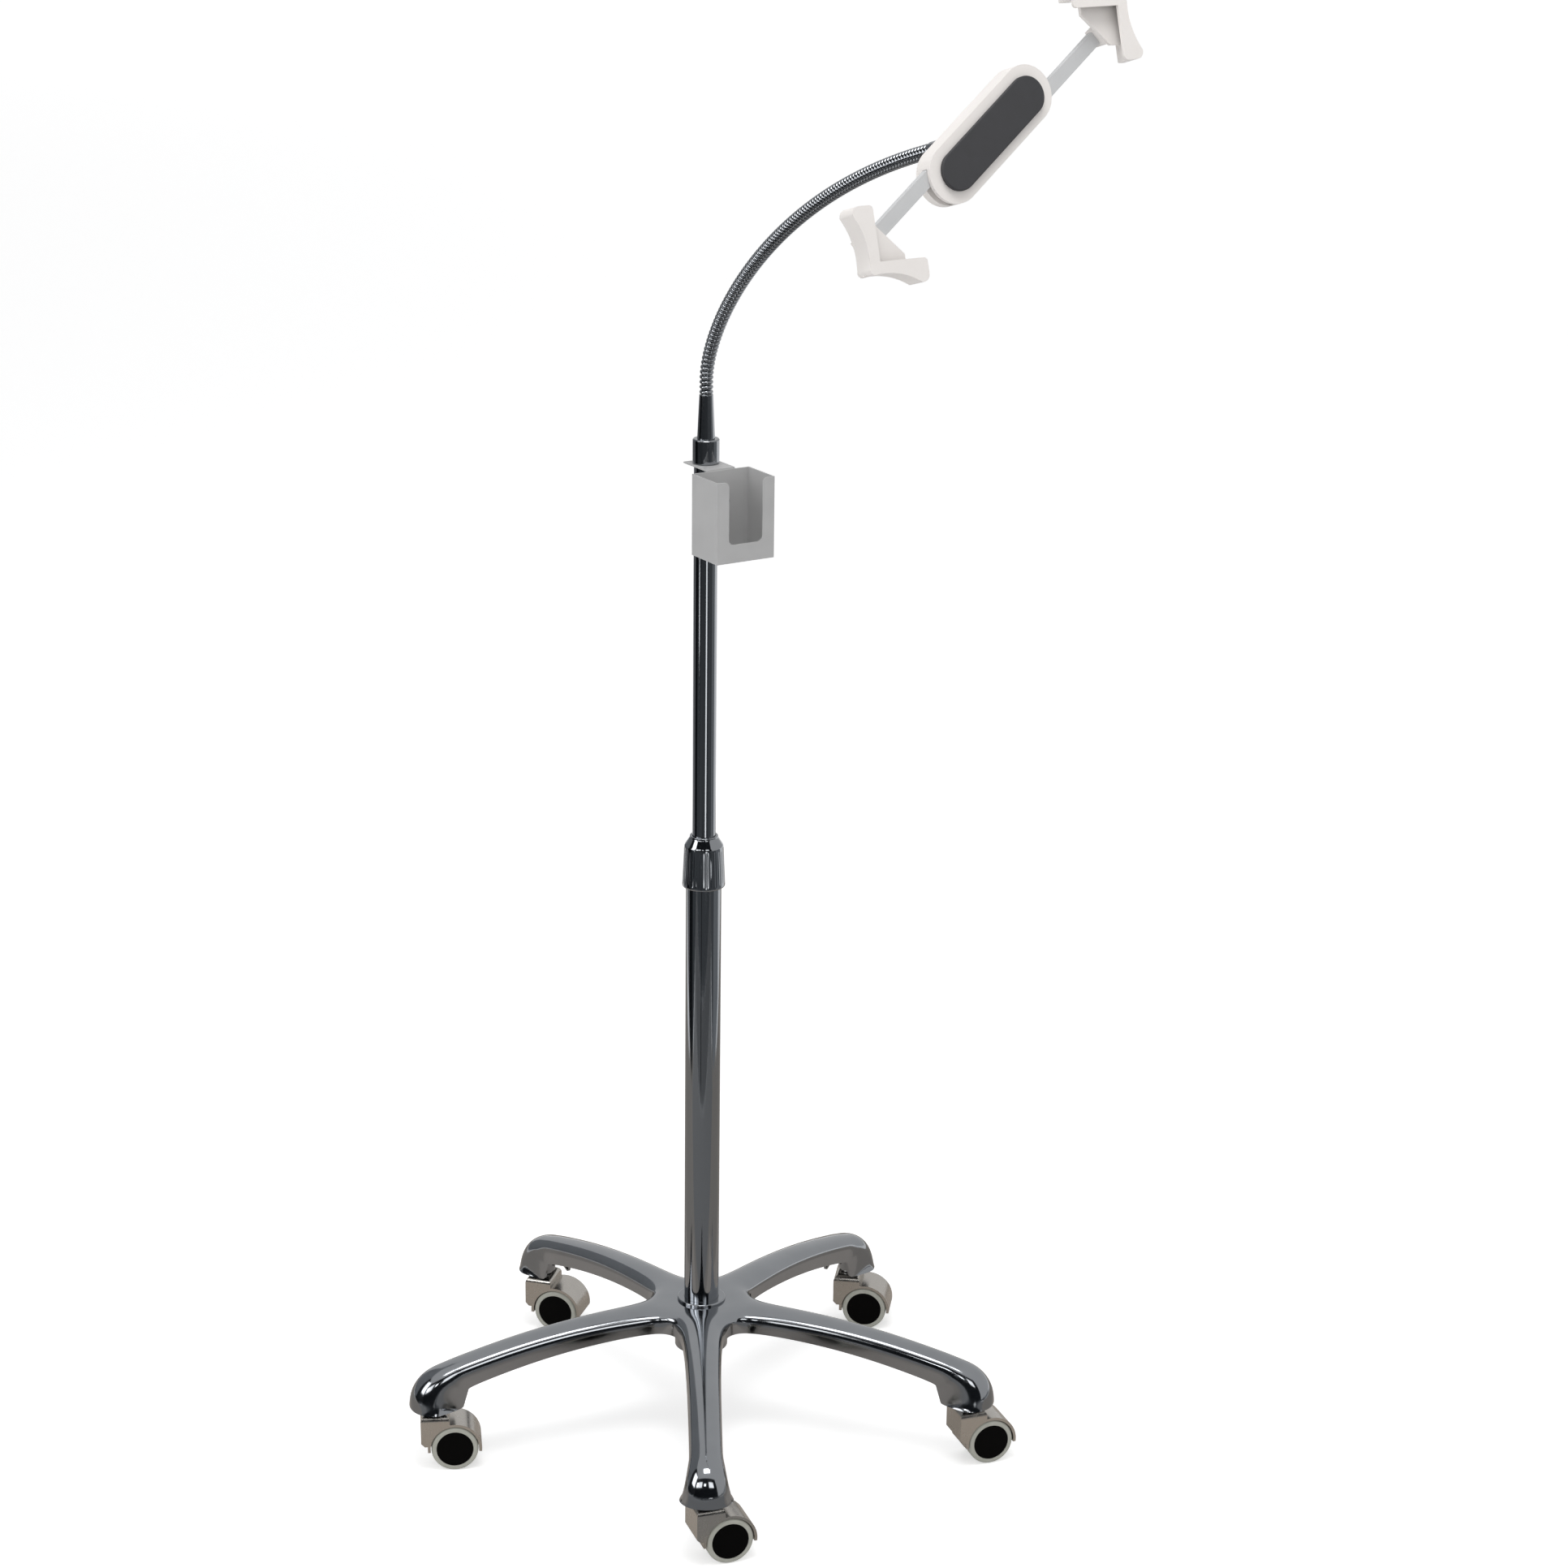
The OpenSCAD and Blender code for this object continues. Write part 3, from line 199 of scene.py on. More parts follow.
# Grey rubber of the pads: dull and dusty
pad_rubber = surface("moulded_grey_rubber", ("#3a3a3c", "#47474a"), (0.75, 0.9), 9, 0.7, 0.02)


# Modelling helpers
def deselect():
    bpy.ops.object.select_all(action="DESELECT")


def only(piece):
    deselect()
    piece.select_set(True)
    bpy.context.view_layer.objects.active = piece


def apply_modifier(piece, kind, **settings):
    """Adds one modifier, with its settings, and applies it."""
    only(piece)
    made = piece.modifiers.new(kind.title(), kind)
    for key, value in settings.items():
        setattr(made, key, value)
    bpy.ops.object.modifier_apply(modifier=made.name)


def finish_look(piece, material, slot, smooth_angle):
    """Smooth shading and the material; the slot is not used."""
    only(piece)
    bpy.ops.object.shade_smooth_by_angle(angle=radians(smooth_angle))
    piece.data.materials.clear()
    piece.data.materials.append(material)


def finish_piece(piece, material, body, slot, smooth_angle=35, true_flats=False):
    """The look and the body that it rides on; true flats stop rounded edges tilting the shading."""
    finish_look(piece, material, slot, smooth_angle)
    if true_flats:
        apply_modifier(piece, "WEIGHTED_NORMAL", weight=100, keep_sharp=True)
    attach(piece, body)


def turned(name, outline, steps=72, bevel=0.0):
    """A turned piece: a closed outline of (radius, height) in millimetres, spun about Z."""
    deselect()
    bpy.ops.mesh.primitive_plane_add(size=MM)
    piece = bpy.context.object
    piece.name = name
    bpy.ops.object.mode_set(mode="EDIT")
    bpy.ops.mesh.merge(type="CENTER")
    bpy.ops.transform.translate(value=(outline[0][0] * MM, 0, outline[0][1] * MM))
    for (r0, z0), (r1, z1) in zip(outline, outline[1:] + outline[:1]):
        step = ((r1 - r0) * MM, 0, (z1 - z0) * MM)
        bpy.ops.mesh.extrude_region_move(TRANSFORM_OT_translate={"value": step})
    bpy.ops.mesh.select_all(action="SELECT")
    bpy.ops.mesh.remove_doubles(threshold=WELD * MM)
    bpy.ops.mesh.select_all(action="SELECT")
    bpy.ops.mesh.spin(steps=steps, angle=2 * pi, center=(0, 0, 0), axis=(0, 0, 1))
    bpy.ops.mesh.select_all(action="SELECT")
    bpy.ops.mesh.remove_doubles(threshold=WELD * MM)
    bpy.ops.mesh.normals_make_consistent(inside=False)
    bpy.ops.object.mode_set(mode="OBJECT")
    if bevel:
        apply_modifier(piece, "BEVEL", width=bevel * MM, segments=3, limit_method="ANGLE",
                       angle_limit=radians(40))
    return piece


def rounded_copy(node, bevel):
    """A copy of a CAD node with its triangles merged, its flats cleaned and its edges rounded."""
    source = frame["nodes"][node]
    piece = bpy.data.objects.new(node + "_rounded", source.data.copy())
    bpy.context.scene.collection.objects.link(piece)
    only(piece)
    bpy.ops.object.mode_set(mode="EDIT")
    bpy.ops.mesh.select_all(action="SELECT")
    bpy.ops.mesh.remove_doubles(threshold=COPY_WELD * MM)
    bpy.ops.mesh.dissolve_limited(angle_limit=radians(0.5))
    bpy.ops.object.mode_set(mode="OBJECT")
    apply_modifier(piece, "BEVEL", width=bevel * MM, segments=3, limit_method="ANGLE",
                   angle_limit=radians(35))
    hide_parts(node)
    return piece


def skin(name, rows):
    """A quad sheet through rows of points in millimetres; a point that is None leaves its quads out."""
    mesh = bpy.data.meshes.new(name)
    sheet = bmesh.new()
    made = [[None if p is None else sheet.verts.new(Vector(p) * MM) for p in row] for row in rows]
    for row, after in zip(made, made[1:]):
        for i in range(len(row) - 1):
            corners = [row[i], after[i], after[i + 1], row[i + 1]]
            if None not in corners:
                sheet.faces.new(corners)
    sheet.to_mesh(mesh)
    sheet.free()
    piece = bpy.data.objects.new(name, mesh)
    bpy.context.scene.collection.objects.link(piece)
    return piece


# Base: one arm's sheet from the hub to the foot, copied round and smoothed as one casting
foot_out, foot_in = STEM_CIRCLE + FOOT_W / 2, STEM_CIRCLE - FOOT_INNER
drop = HUB_TOP - FOOT_Z - FOOT_SKIRT
arm_slope = 2 * atan((drop - FOOT_BEND) / (foot_out - ARM_FLAT - FOOT_BEND))
arc_r = FOOT_BEND + (foot_out - ARM_FLAT - FOOT_BEND) / sin(arm_slope)
waist_slope = asin((foot_in - ARM_FLAT) / arc_r)


def mix(a, b, f):
    return a + (b - a) * f


def arc_point(slope):
    return Vector((ARM_FLAT + arc_r * sin(slope), HUB_TOP - arc_r * (1 - cos(slope))))


def bend_point(slope):
    return Vector((foot_out - FOOT_BEND * (1 - sin(slope)), FOOT_Z + FOOT_SKIRT + FOOT_BEND * cos(slope)))


def arm_section(f):
    """Top and under points, widths at the crown and at the lower edge, crown and roundness, hub to waist."""
    slope = waist_slope * f
    top = arc_point(slope)
    depth = mix(ROOT_DEPTH, WAIST_DEPTH, f)
    under = top - depth * Vector((sin(slope), cos(slope)))
    width = WAIST_W + (ROOT_W - WAIST_W) * (1 - f) ** 3
    return top, under, width, width, ARM_CROWN, ARCH_POWER


def foot_sections():
    """The sections from the waist round the bend to the foot's rim."""
    tops = [arc_point(mix(waist_slope, arm_slope, f)) for f in SHOULDER_STEPS]
    tops += [bend_point(mix(arm_slope, pi / 2, i / BEND_STEPS)) for i in range(BEND_STEPS + 1)]
    tops.append(Vector((foot_out, FOOT_Z)))
    waist_under, rim_under = arm_section(1.0)[1], Vector((foot_in, FOOT_Z))
    for i, top in enumerate(tops, 1):
        f = i / len(tops)
        width, lower_width = mix(WAIST_W, FOOT_W, f ** FOOT_FLARE), mix(WAIST_W, FOOT_INNER_W, f)
        yield (top, waist_under.lerp(rim_under, f), width, lower_width,
               mix(ARM_CROWN, FOOT_CROWN, f), mix(ARCH_POWER, RIM_POWER, f))


def section_points(section):
    """Points across a section from its right lower edge over the crown to its left lower edge."""
    top, under, width, lower_width, crown, power = section
    up = top - under
    depth = up.length
    half = [(width / 2 * cos(radians(a)) ** power, depth - crown * (1 - sin(radians(a)) ** power))
            for a in ARCH_ANGLES] + [(lower_width / 2, 0)]
    across = [(-y, h) for y, h in reversed(half[1:])] + half
    return [Vector((under.x + up.x * h / depth, y, under.y + up.y * h / depth)) for y, h in across]


def polar(r, angle, z):
    return Vector((r * cos(radians(angle)), r * sin(radians(angle)), z))


def base_shell():
    """The hub and arms as one shell: one arm's sheet, copied round, smoothed and thickened."""
    sections = [arm_section(f) for f in ARM_STEPS] + list(foot_sections())
    rows = [section_points(s) for s in sections]
    half_turn = 180 / ARM_COUNT
    top_turns = [-half_turn, -half_turn / 2, 0, half_turn / 2, half_turn]
    shoulder = [(HUB_CROTCH_R - inwards, HUB_TOP - down) for inwards, down in CROTCH_ROUND]
    shoulder.append((HUB_CROTCH_R, HUB_TOP - ROOT_DEPTH))
    crotch = [[polar(r, side * half_turn, z) for r, z in shoulder] for side in (-1, 1)]
    gap = [None] * 3
    rings = [gap + [polar(r, a, HUB_TOP) for a in top_turns] + gap for r in (COLUMN_HOLE_R, HUB_RING_R)]
    inner = [Vector((along, across, HUB_TOP)) for along, across in HUB_TO_ARM]
    rings.append(list(reversed(crotch[0])) + inner + crotch[1])
    arm = skin("base_shell", rings + rows)
    only(arm)
    bpy.ops.object.mode_set(mode="EDIT")
    bpy.ops.mesh.select_all(action="SELECT")
    for _ in range(1, ARM_COUNT):
        bpy.ops.mesh.duplicate()
        bpy.ops.transform.rotate(value=-2 * pi / ARM_COUNT, orient_axis="Z", center_override=(0, 0, 0))
    bpy.ops.mesh.select_all(action="SELECT")
    bpy.ops.mesh.remove_doubles(threshold=SHELL_WELD * MM)
    bpy.ops.object.mode_set(mode="OBJECT")
    apply_modifier(arm, "SUBSURF", levels=SHELL_LEVELS, render_levels=SHELL_LEVELS)
    apply_modifier(arm, "SOLIDIFY", thickness=ARM_WALL * MM, offset=-1.0)
    arm.data.transform(Matrix.Rotation(radians(FIRST_ARM), 4, "Z"))
    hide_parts("base_spider")
    finish_piece(arm, chrome_casting, "base", "base_alloy", 50)


def foot_boss(angle):
    """The boss in a foot that takes a caster's stem, with the rib that ties it to the foot's wall."""
    boss = turned("foot_boss", [(STEM_HOLE_R, FOOT_Z), (BOSS_R, FOOT_Z), (BOSS_R, BOSS_TOP), (0, BOSS_TOP),
                                (0, STEM_HOLE_TOP), (STEM_HOLE_R, STEM_HOLE_TOP)], 48)
    deselect()
    bpy.ops.mesh.primitive_cube_add(size=1.0)
    rib = bpy.context.object
    middle = Vector((BOSS_R + FOOT_RIB_L / 2 - FOOT_RIB_LAP, 0, FOOT_Z + FOOT_SKIRT + FOOT_RIB_H / 2))
    size = Vector((FOOT_RIB_L, ARM_WALL, FOOT_RIB_H))
    rib.data.transform(Matrix.LocRotScale(middle * MM, None, size * MM))
    apply_modifier(rib, "BEVEL", width=FOOT_RIB_EDGE * MM, segments=2)
    boss.select_set(True)
    bpy.context.view_layer.objects.active = boss
    bpy.ops.object.join()
    out = Matrix.Translation((STEM_CIRCLE * MM, 0, 0))
    boss.data.transform(Matrix.Rotation(radians(angle), 4, "Z") @ out)
    return boss


base_shell()
hub_sleeve = turned("hub_sleeve", [(COLUMN_HOLE_R, HUB_TOP - ARM_WALL), (SLEEVE_R, HUB_TOP - ARM_WALL),
                                   (SLEEVE_R, SLEEVE_FOOT), (BOLT_HOLE_R, SLEEVE_FOOT),
                                   (BOLT_HOLE_R, SLEEVE_FLOOR), (COLUMN_HOLE_R, SLEEVE_FLOOR)],
                    bevel=SLEEVE_EDGE)
finish_piece(hub_sleeve, chrome_casting, "base", "base_alloy")
for k in range(ARM_COUNT):
    finish_piece(foot_boss(FIRST_ARM + 360 / ARM_COUNT * k), chrome_casting, "base", "base_alloy")


# Collar: turned with its rounded edges, and shallow flutes for the grip round its body
def fillet(corner, before, after, radius, steps=4):
    """Points that round one corner of an outline."""
    at = Vector(corner)
    start = at + (Vector(before) - at).normalized() * radius
    end = at + (Vector(after) - at).normalized() * radius
    return [tuple(start.lerp(at, f).lerp(at.lerp(end, f), f)) for f in (i / steps for i in range(steps + 1))]


def lock_collar():
    foot, shoulder = (COLLAR_LOW_R, COLLAR_FOOT), (COLLAR_HIGH_R, COLLAR_SHOULDER)
    lip_z = COLLAR_TOP - COLLAR_LIP
    lip, rim = (COLLAR_RIM_R, lip_z), (COLLAR_RIM_R, COLLAR_TOP)
    mouth, bore = (COLLAR_MOUTH_R, COLLAR_TOP), (COLLAR_BORE_R, COLLAR_FOOT)
    body = [tuple(Vector(foot).lerp(Vector(shoulder), f)) for f in COLLAR_ROWS]
    outline = [bore] + fillet(foot, bore, shoulder, COLLAR_FOOT_ROUND) + body
    outline += fillet(shoulder, foot, lip, COLLAR_SHOULDER_ROUND)
    outline += fillet(lip, shoulder, rim, COLLAR_RIM_ROUND) + fillet(rim, lip, mouth, COLLAR_RIM_ROUND)
    outline += [mouth, (COLLAR_MOUTH_R, lip_z), (COLLAR_THROAT_R, lip_z),
                (COLLAR_BORE_R - COLLAR_SEAT_STEP, COLLAR_SEAT), (COLLAR_BORE_R, COLLAR_SEAT)]
    piece = turned("lock_collar_fluted", outline, FLUTE_STEPS * FLUTES)
    low, high = body[1][1] - ROW_SLACK, body[-2][1] + ROW_SLACK
    for vertex in piece.data.vertices:
        r = vertex.co.xy.length / MM
        if low < vertex.co.z / MM < high and r > COLLAR_BORE_R + BORE_SLACK:
            cut = FLUTE_DEPTH * (0.5 - 0.5 * cos(FLUTES * vertex.co.xy.angle_signed(Vector((1, 0)))))
            vertex.co.xy *= (r - cut) / r
    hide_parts("lock_collar")
    finish_piece(piece, chrome_tube, "collar", "chrome", 50)


lock_collar()


# Gooseneck: one rib, repeated along the neck and bent to its curve, in two lengths that each cross one joint
def neck_curve():
    """The neck's middle line, straight for a diameter at each end, and its length."""
    way = Vector((0, -cos(radians(HOLDER_TILT)), sin(radians(HOLDER_TILT))))
    straight = 2 * NECK_R
    foot = Vector((0, 0, NECK_FOOT))
    tip = Vector((0, -HOLDER_REACH, HOLDER_Z)) - NECK_BACK * way
    start, end = foot + Vector((0, 0, straight)), tip - straight * way
    data = bpy.data.curves.new("neck_line", "CURVE")
    data.dimensions = "3D"
    data.resolution_u = 64
    line = data.splines.new("BEZIER")
    line.bezier_points.add(3)
    third = straight / 3
    places = [
        (foot, foot, foot + Vector((0, 0, third))),
        (start - Vector((0, 0, third)), start, start + Vector((0, 0, NECK_RISE))),
        (end - NECK_RUN * way, end, end + third * way),
        (tip - third * way, tip, tip),
    ]
    for point, (left, at, right) in zip(line.bezier_points, places):
        point.handle_left_type = point.handle_right_type = "FREE"
        point.handle_left, point.co, point.handle_right = left * MM, at * MM, right * MM
    curve = bpy.data.objects.new("neck_line", data)
    bpy.context.scene.collection.objects.link(curve)
    return curve, line.calc_length() / MM


def neck_length_piece(name, curve, pitch, first, count):
    """A length of the neck: a number of ribs from the first, bent to the curve."""
    shares = [i / RIB_STEPS for i in range(RIB_STEPS + 1)]
    crest = [(NECK_R - NECK_GROOVE * (1 - sin(pi * f) ** RIB_POWER),
              pitch * (RIB_GAP + (1 - 2 * RIB_GAP) * f)) for f in shares]
    outline = [(NECK_R - NECK_GROOVE, 0)] + crest + [(NECK_R - NECK_GROOVE, pitch)]
    deselect()
    bpy.ops.mesh.primitive_circle_add(vertices=NECK_SIDES, radius=outline[0][0] * MM,
                                      location=(0, 0, first * pitch * MM))
    rib = bpy.context.object
    rib.name = name
    bpy.ops.object.transform_apply(location=True)
    bpy.ops.object.mode_set(mode="EDIT")
    bpy.ops.mesh.select_all(action="SELECT")
    for (r0, z0), (r1, z1) in zip(outline, outline[1:]):
        bpy.ops.mesh.extrude_region_move(TRANSFORM_OT_translate={"value": (0, 0, (z1 - z0) * MM)})
        bpy.ops.transform.resize(value=(r1 / r0, r1 / r0, 1), center_override=(0, 0, 0))
    bpy.ops.mesh.select_all(action="SELECT")
    bpy.ops.mesh.normals_make_consistent(inside=False)
    bpy.ops.object.mode_set(mode="OBJECT")
    apply_modifier(rib, "ARRAY", count=count, use_relative_offset=False, use_constant_offset=True,
                   constant_offset_displace=(0, 0, pitch * MM), use_merge_vertices=True,
                   merge_threshold=RIB_WELD * MM)
    only(rib)
    bpy.ops.object.mode_set(mode="EDIT")
    bpy.ops.mesh.select_all(action="SELECT")
    bpy.ops.mesh.fill_holes(sides=0)
    bpy.ops.mesh.normals_make_consistent(inside=False)
    bpy.ops.object.mode_set(mode="OBJECT")
    apply_modifier(rib, "CURVE", object=curve, deform_axis="POS_Z")
    return rib


def gooseneck():
    curve, length = neck_curve()
    count = int(length // RIB_PITCH)
    pitch = length / count
    lower_count = count // 2
    lower = neck_length_piece("gooseneck_lower", curve, pitch, 0, lower_count)
    upper = neck_length_piece("gooseneck_upper", curve, pitch, lower_count, count - lower_count)
    bpy.data.objects.remove(curve)
    foot = Vector((0, 0, NECK_FOOT * MM))
    corners = [Vector(c) for c in lower.bound_box]
    middle = Vector((0, min(c.y for c in corners), max(c.z for c in corners)))
    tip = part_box("neck_end")
    tip_at = Vector((0, tip[1].y, tip[0].z))
    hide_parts("gooseneck")
    for piece, near, far, start, end in ((lower, "mast", "neck", foot, middle),
                                         (upper, "neck", "tip", middle, tip_at)):
        finish_look(piece, chrome_tube, "chrome", 60)
        tuple(start)
        tuple(end)
        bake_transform(piece)


gooseneck()

# Rounded copies of the other pieces that show: node, edge radius, material, body, slot
ROUNDED = [
    ("hub_ring", 0.3, chrome_tube, "base", "chrome"),
    ("lower_tube", 0.3, chrome_tube, "base", "chrome"),
    ("upper_tube", 0.3, chrome_tube, "mast", "chrome"),
    ("top_sleeve", 0.4, chrome_tube, "mast", "chrome"),
    ("neck_socket", 0.5, chrome_tube, "mast", "chrome"),
    ("neck_end", 0.5, chrome_tube, "tip", "chrome"),
    ("pocket", 0.35, coated_sheet, "mast", "sheet_paint"),
    ("pocket_bracket", 0.35, coated_sheet, "mast", "sheet_paint"),
    ("grip_lower", 1.2, white_abs, "lower_arm", "white_plastic"),
    ("grip_upper", 1.2, white_abs, "upper_arm", "white_plastic"),
    ("rear_cover", 1.2, white_abs, "holder", "white_plastic"),
    ("front_cover", 1.0, white_abs, "holder", "white_plastic"),
    ("rest_pad", 1.0, pad_rubber, "holder", "pad_rubber"),
    ("lock_knob", 0.8, black_knob, "knob", "knob_plastic"),
    ("lock_ring", 0.6, white_abs, "ring", "white_plastic"),
    ("ball_socket", 0.6, white_abs, "socket", "white_plastic"),
]
for node, radius, material, body, slot in ROUNDED:
    finish_piece(rounded_copy(node, radius), material, body, slot, true_flats=True)

for k in range(1, ARM_COUNT + 1):
    caster = "caster_%d" % k
    finish_piece(rounded_copy(caster + "_hood", 1.0), chrome_hood, caster, "chrome", true_flats=True)
    for side in ("left", "right"):
        wheel = "%s_wheel_%s" % (caster, side)
        finish_piece(rounded_copy(wheel, 0.4), tyre_nylon, wheel, "wheel_nylon", true_flats=True)
        cap = "%s_cap_%s" % (caster, side)
        finish_piece(rounded_copy(cap, 0.3), black_cap, wheel, "cap_black", true_flats=True)

# Every CAD solid takes its material by slot
SLOT_MATERIALS = {"base_alloy": chrome_casting, "chrome": chrome_tube, "steel_plain": zinc_steel,
                  "sheet_paint": coated_sheet, "white_plastic": white_abs, "arm_plastic": grey_acetal,
                  "nylon": natural_nylon, "knob_plastic": black_knob, "pad_rubber": pad_rubber,
                  "wheel_nylon": tyre_nylon, "cap_black": black_cap}
for part in frame["record"]["subparts"]:
    solid = frame["nodes"][part["node"]]
    for held in solid.material_slots:
        held.material = SLOT_MATERIALS[part["material_slot"]]


# Stage, in metres: a pale floor, soft lamps, and the cloths, screens and cards that the chrome mirrors,
# which the camera does not see; these paint dark reflections and glowing highlights into the chrome
def across_view(right, near, height=0.0):
    """A point in metres by its place to the camera's right of the column, nearer to the camera, and up."""
    turn = radians(CAMERA_HEADING)
    return Vector((right * sin(turn) - near * cos(turn), -right * cos(turn) - near * sin(turn), height))


def stage_sheet(name, corners, colour, lift=0.0):
    """A flat sheet of the studio; lift is the light it adds where the camera or a mirror sees it."""
    deselect()
    bpy.ops.mesh.primitive_plane_add(size=1.0)
    made = bpy.context.object
    made.name = name
    for vertex, corner in zip(made.data.vertices, (corners[0], corners[1], corners[3], corners[2])):
        vertex.co = corner
    finish = bpy.data.materials.new(name)
    finish.use_nodes = True
    tree = finish.node_tree
    tree.nodes.clear()
    body = add(tree, "ShaderNodeBsdfDiffuse", {"Color": linear(colour)}).outputs[0]
    if lift:
        path = add(tree, "ShaderNodeLightPath").outputs
        seen = add(tree, "ShaderNodeMath", {0: path["Is Camera Ray"], 1: path["Is Glossy Ray"]}).outputs[0]
        seen = add(tree, "ShaderNodeMath", {0: seen, 1: path["Is Transmission Ray"]},
                   use_clamp=True).outputs[0]
        glow = add(tree, "ShaderNodeMath", {0: seen, 1: lift}, operation="MULTIPLY").outputs[0]
        glow = add(tree, "ShaderNodeEmission", {"Strength": glow}).outputs[0]
        body = add(tree, "ShaderNodeAddShader", {0: body, 1: glow}).outputs[0]
    add(tree, "ShaderNodeOutputMaterial", {"Surface": body})
    made.data.materials.append(finish)
    return made


FLOOR_HALF, FLOOR_TONE, FLOOR_LIFT = 60, "#f4f4f4", 0.46
floor_corners = [Vector((FLOOR_HALF * x, FLOOR_HALF * y, 0)) for x, y in ((-1, -1), (1, -1), (1, 1), (-1, 1))]
stage_sheet("floor", floor_corners, FLOOR_TONE, FLOOR_LIFT)

# Sheets laid on the floor, each a little above the last, that show only in reflections: their tones are
# painted reflections, and the strips with a lift glow to paint highlights. Corners to the right and nearer,
# tone, lift
CLOTH_Z = 0.002
CLOTHS = [
    # The mat and its lighter middle are a grey floor painted into the reflections; the camera sees the white
    # floor there
    ("mat", [(-1.1, -2), (1.1, -2), (1.1, 0.5), (-1.1, 0.5)], "#b0aaa3", 0),
    ("mat_inner", [(-0.42, -0.42), (0.42, -0.42), (0.42, 0.3), (-0.42, 0.3)], "#c8c0b8", 0),
    ("cloth_near", [(-0.9, 0.36), (0.9, 0.36), (1.2, 0.9), (-1.2, 0.9)], "#9a9a9a", 0),
    ("cloth_middle", [(-1.2, 0.9), (1.2, 0.9), (1.5, 1.3), (-1.5, 1.3)], "#7a7b7c", 0),
    ("cloth_front", [(-1.5, 1.3), (1.5, 1.3), (5, 12), (-5, 12)], "#5a5d60", 0),
    ("cloth_front_left", [(-0.95, 0.3), (-1.2, 0.9), (-5, 12), (-13, 3.6)], "#505356", 0),
    ("cloth_left", [(-1.2, -0.25), (-0.95, 0.3), (-13, 3.6), (-13, -2.6)], "#1e2023", 0),
    ("cloth_left_back", [(-2.3, -6), (-1.2, -0.25), (-13, -2.6), (-8, -12)], "#98989a", 0),
    ("cloth_right", [(0.95, 0.35), (13, 4.0), (5, 12), (1.2, 0.9)], "#6c6f72", 0),
    ("cloth_right_back", [(1.2, -0.5), (13, -3), (13, 4.0), (0.95, 0.35)], "#a2a5a8", 0),
    # A painted dark line in the tubes' reflections
    ("painted_dark_line_strip", [(-0.2, 0.92), (-0.14, 0.92), (-0.34, 2.0), (-0.46, 2.0)], "#1a1c1e", 0),
    # Two strips that glow only in reflections: painted highlight lines on the chrome
    ("painted_highlight_strip", [(0.34, 1.87), (0.7, 1.77), (1.5, 3.8), (0.75, 4.0)], "#f4f4f4", 1.5),
    ("painted_highlight_strip_thin", [(-2.35, 1.83), (-2.6, 1.7), (-3.2, 2.05), (-2.95, 2.25)], "#f4f4f4", 2.5),
]
screens = [stage_sheet(name, [across_view(u, v, CLOTH_Z * (i + 1)) for u, v in corners], tone, lift)
           for i, (name, corners, tone, lift) in enumerate(CLOTHS)]

# Upright screens, and cards that glow only in reflections to paint highlights on the chrome: two ends, lowest
# and highest points, tone, lift
SCREEN_RISE, CARD_RISE = (0, 18), (2.2, 3.9)
UPRIGHTS = [
    # The screen behind the camera shows only in reflections, where it paints the dark band on the chrome
    ("screen_behind", ((-14, 12), (14, 12)), SCREEN_RISE, "#303337", 0),
    ("screen_left", ((-13, -2), (-14, 12)), SCREEN_RISE, "#3a3c3f", 0),
    ("screen_left_back", ((-13, -2), (-7, -12)), SCREEN_RISE, "#b0b3b6", 0),
    ("painted_highlight_card_left", ((-4.2, 4), (-1.3, 4)), CARD_RISE, "#f4f4f4", 2.0),
    ("painted_highlight_card_right", ((0.9, 4), (2.6, 4)), CARD_RISE, "#f4f4f4", 2.0),
]
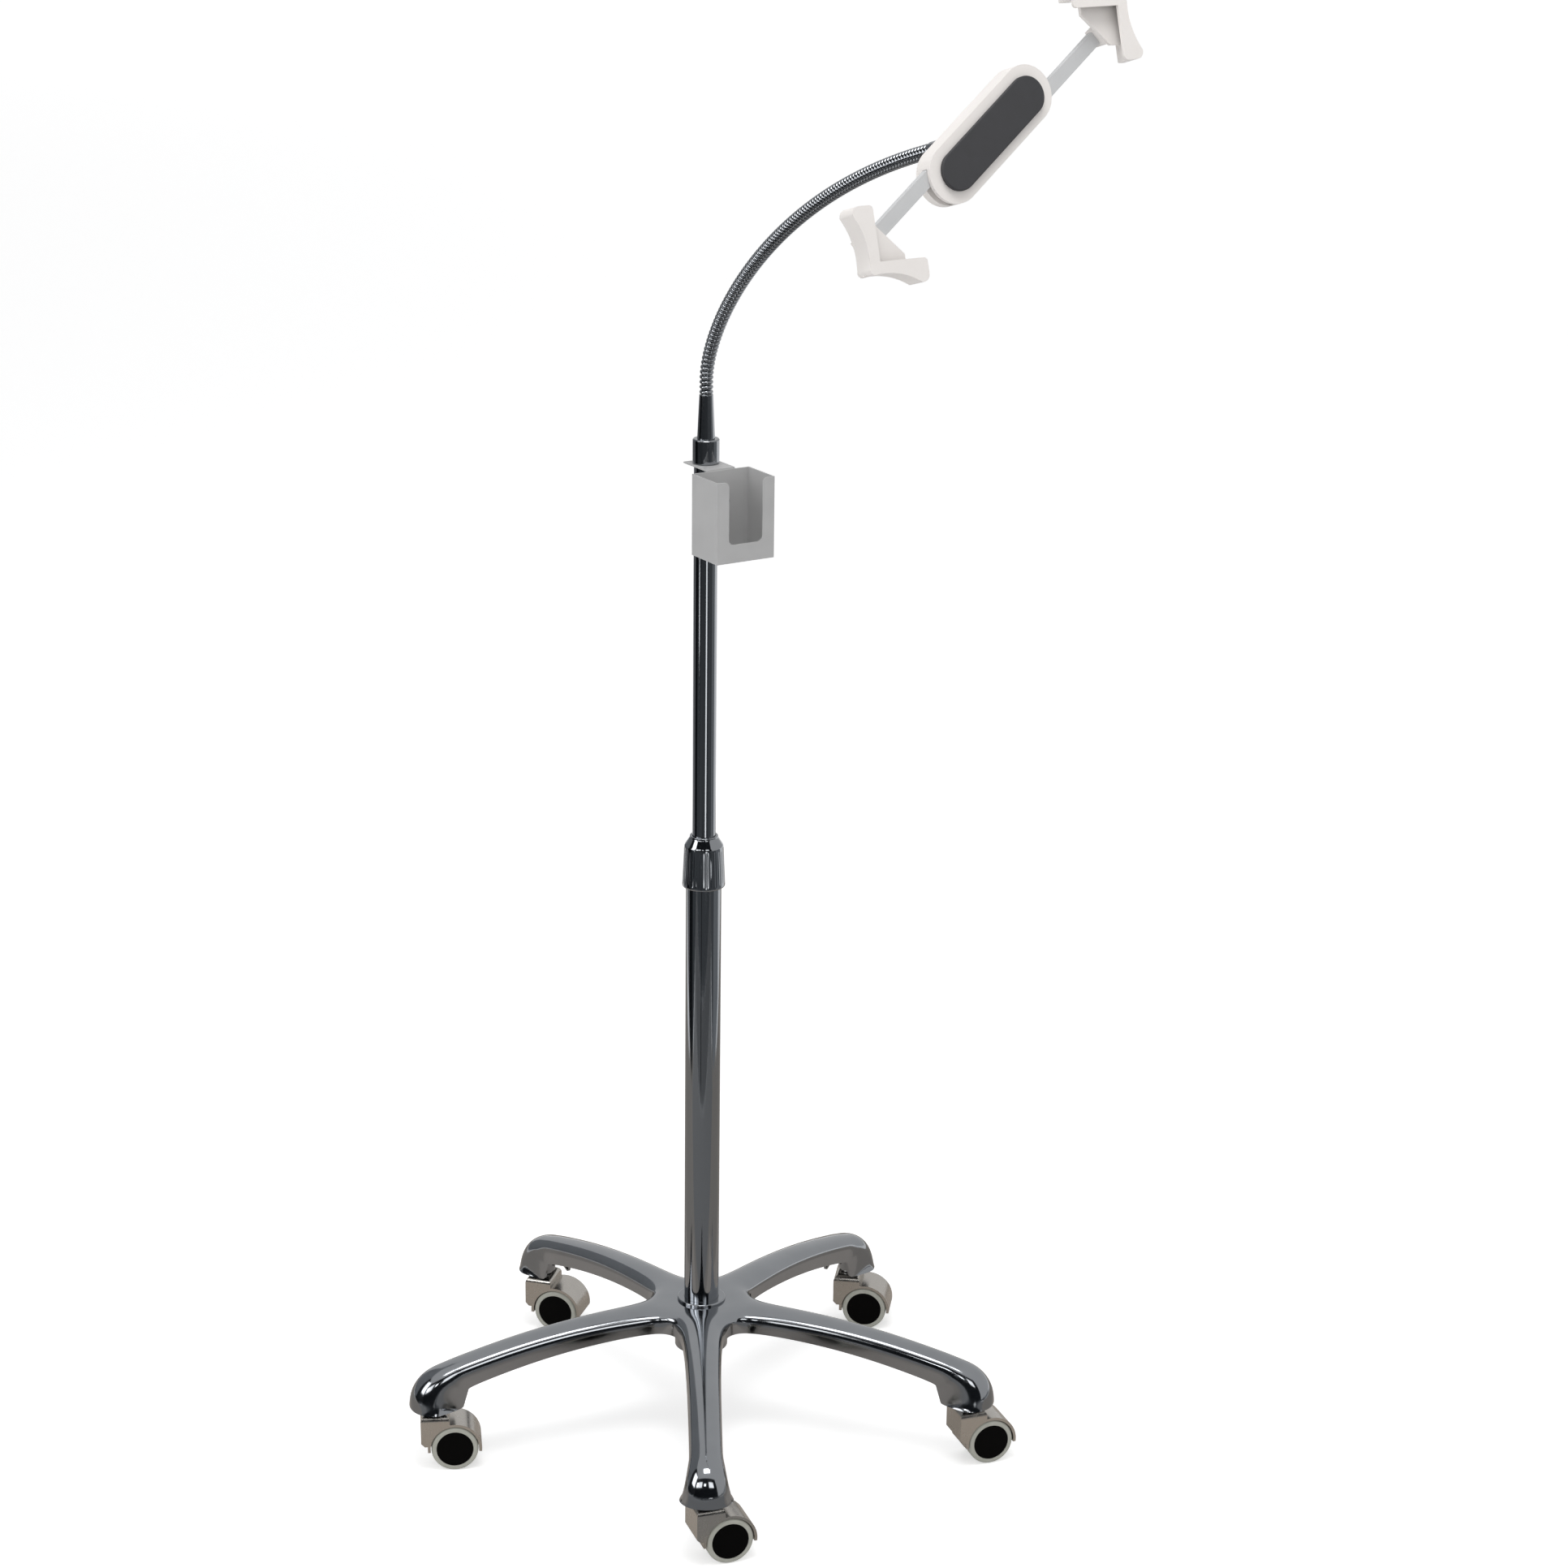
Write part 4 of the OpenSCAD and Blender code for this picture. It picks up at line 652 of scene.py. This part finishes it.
for name, (one, other), (low, high), tone, lift in UPRIGHTS:
    corners = [across_view(*one, low), across_view(*other, low),
               across_view(*other, high), across_view(*one, high)]
    screens.append(stage_sheet(name, corners, tone, lift))
# Every sheet here is hidden from the camera; all but the screens on the left light nothing and cast no shade,
# so they only paint reflections. Only the screens on the left also keep light off the object
for screen in screens:
    shades = screen.name.startswith("screen_left")
    screen.visible_camera = screen.visible_transmission = False
    screen.visible_diffuse = screen.visible_shadow = shades

world = bpy.data.worlds.new("studio")
bpy.context.scene.world = world
world.use_nodes = True
WORLD_STRENGTH = 0.67
sky = world.node_tree.nodes["Background"].inputs
sky["Color"].default_value = linear("#ffffff")
sky["Strength"].default_value = WORLD_STRENGTH


def lamp(name, at, towards, size, watts):
    """A soft box of a size in metres, turned towards a point."""
    data = bpy.data.lights.new(name, "AREA")
    data.shape = "RECTANGLE"
    data.size, data.size_y = size
    data.energy = watts
    made = bpy.data.objects.new(name, data)
    made.location = at
    made.rotation_mode = "QUATERNION"
    made.rotation_quaternion = (Vector(towards) - Vector(at)).to_track_quat("-Z", "Y")
    bpy.context.scene.collection.objects.link(made)


lamp("overhead_box", across_view(0.1, 0.9, 3.3), (0, 0, 0.6), (1.2, 0.8), 20)
lamp("left_box", across_view(-2.6, 1.2, 1.9), (0, 0, 0.9), (1.2, 1.8), 24)
lamp("front_box", across_view(-0.3, 3.6, 2.6), (0, 0, 0.7), (0.5, 0.5), 4)
lamp("left_window", across_view(-1.9, 2.3, 1.7), (0, 0, 0.3), (0.3, 0.45), 3)

camera = bpy.data.objects.new("camera", bpy.data.cameras.new("camera"))
camera.data.sensor_width = PICTURE_SENSOR
camera.data.lens = LENS
camera.rotation_mode = "QUATERNION"
camera.location = Vector(CAMERA_AT) * MM
aim = (Matrix.Rotation(radians(CAMERA_HEADING - 90), 4, "Z")
       @ Matrix.Rotation(radians(90 - CAMERA_DOWN), 4, "X")
       @ Matrix.Rotation(radians(CAMERA_ROLL), 4, "Z"))
camera.rotation_quaternion = aim.to_quaternion()
bpy.context.scene.collection.objects.link(camera)
bpy.context.scene.camera = camera
bpy.context.scene.view_settings.view_transform = "Standard"
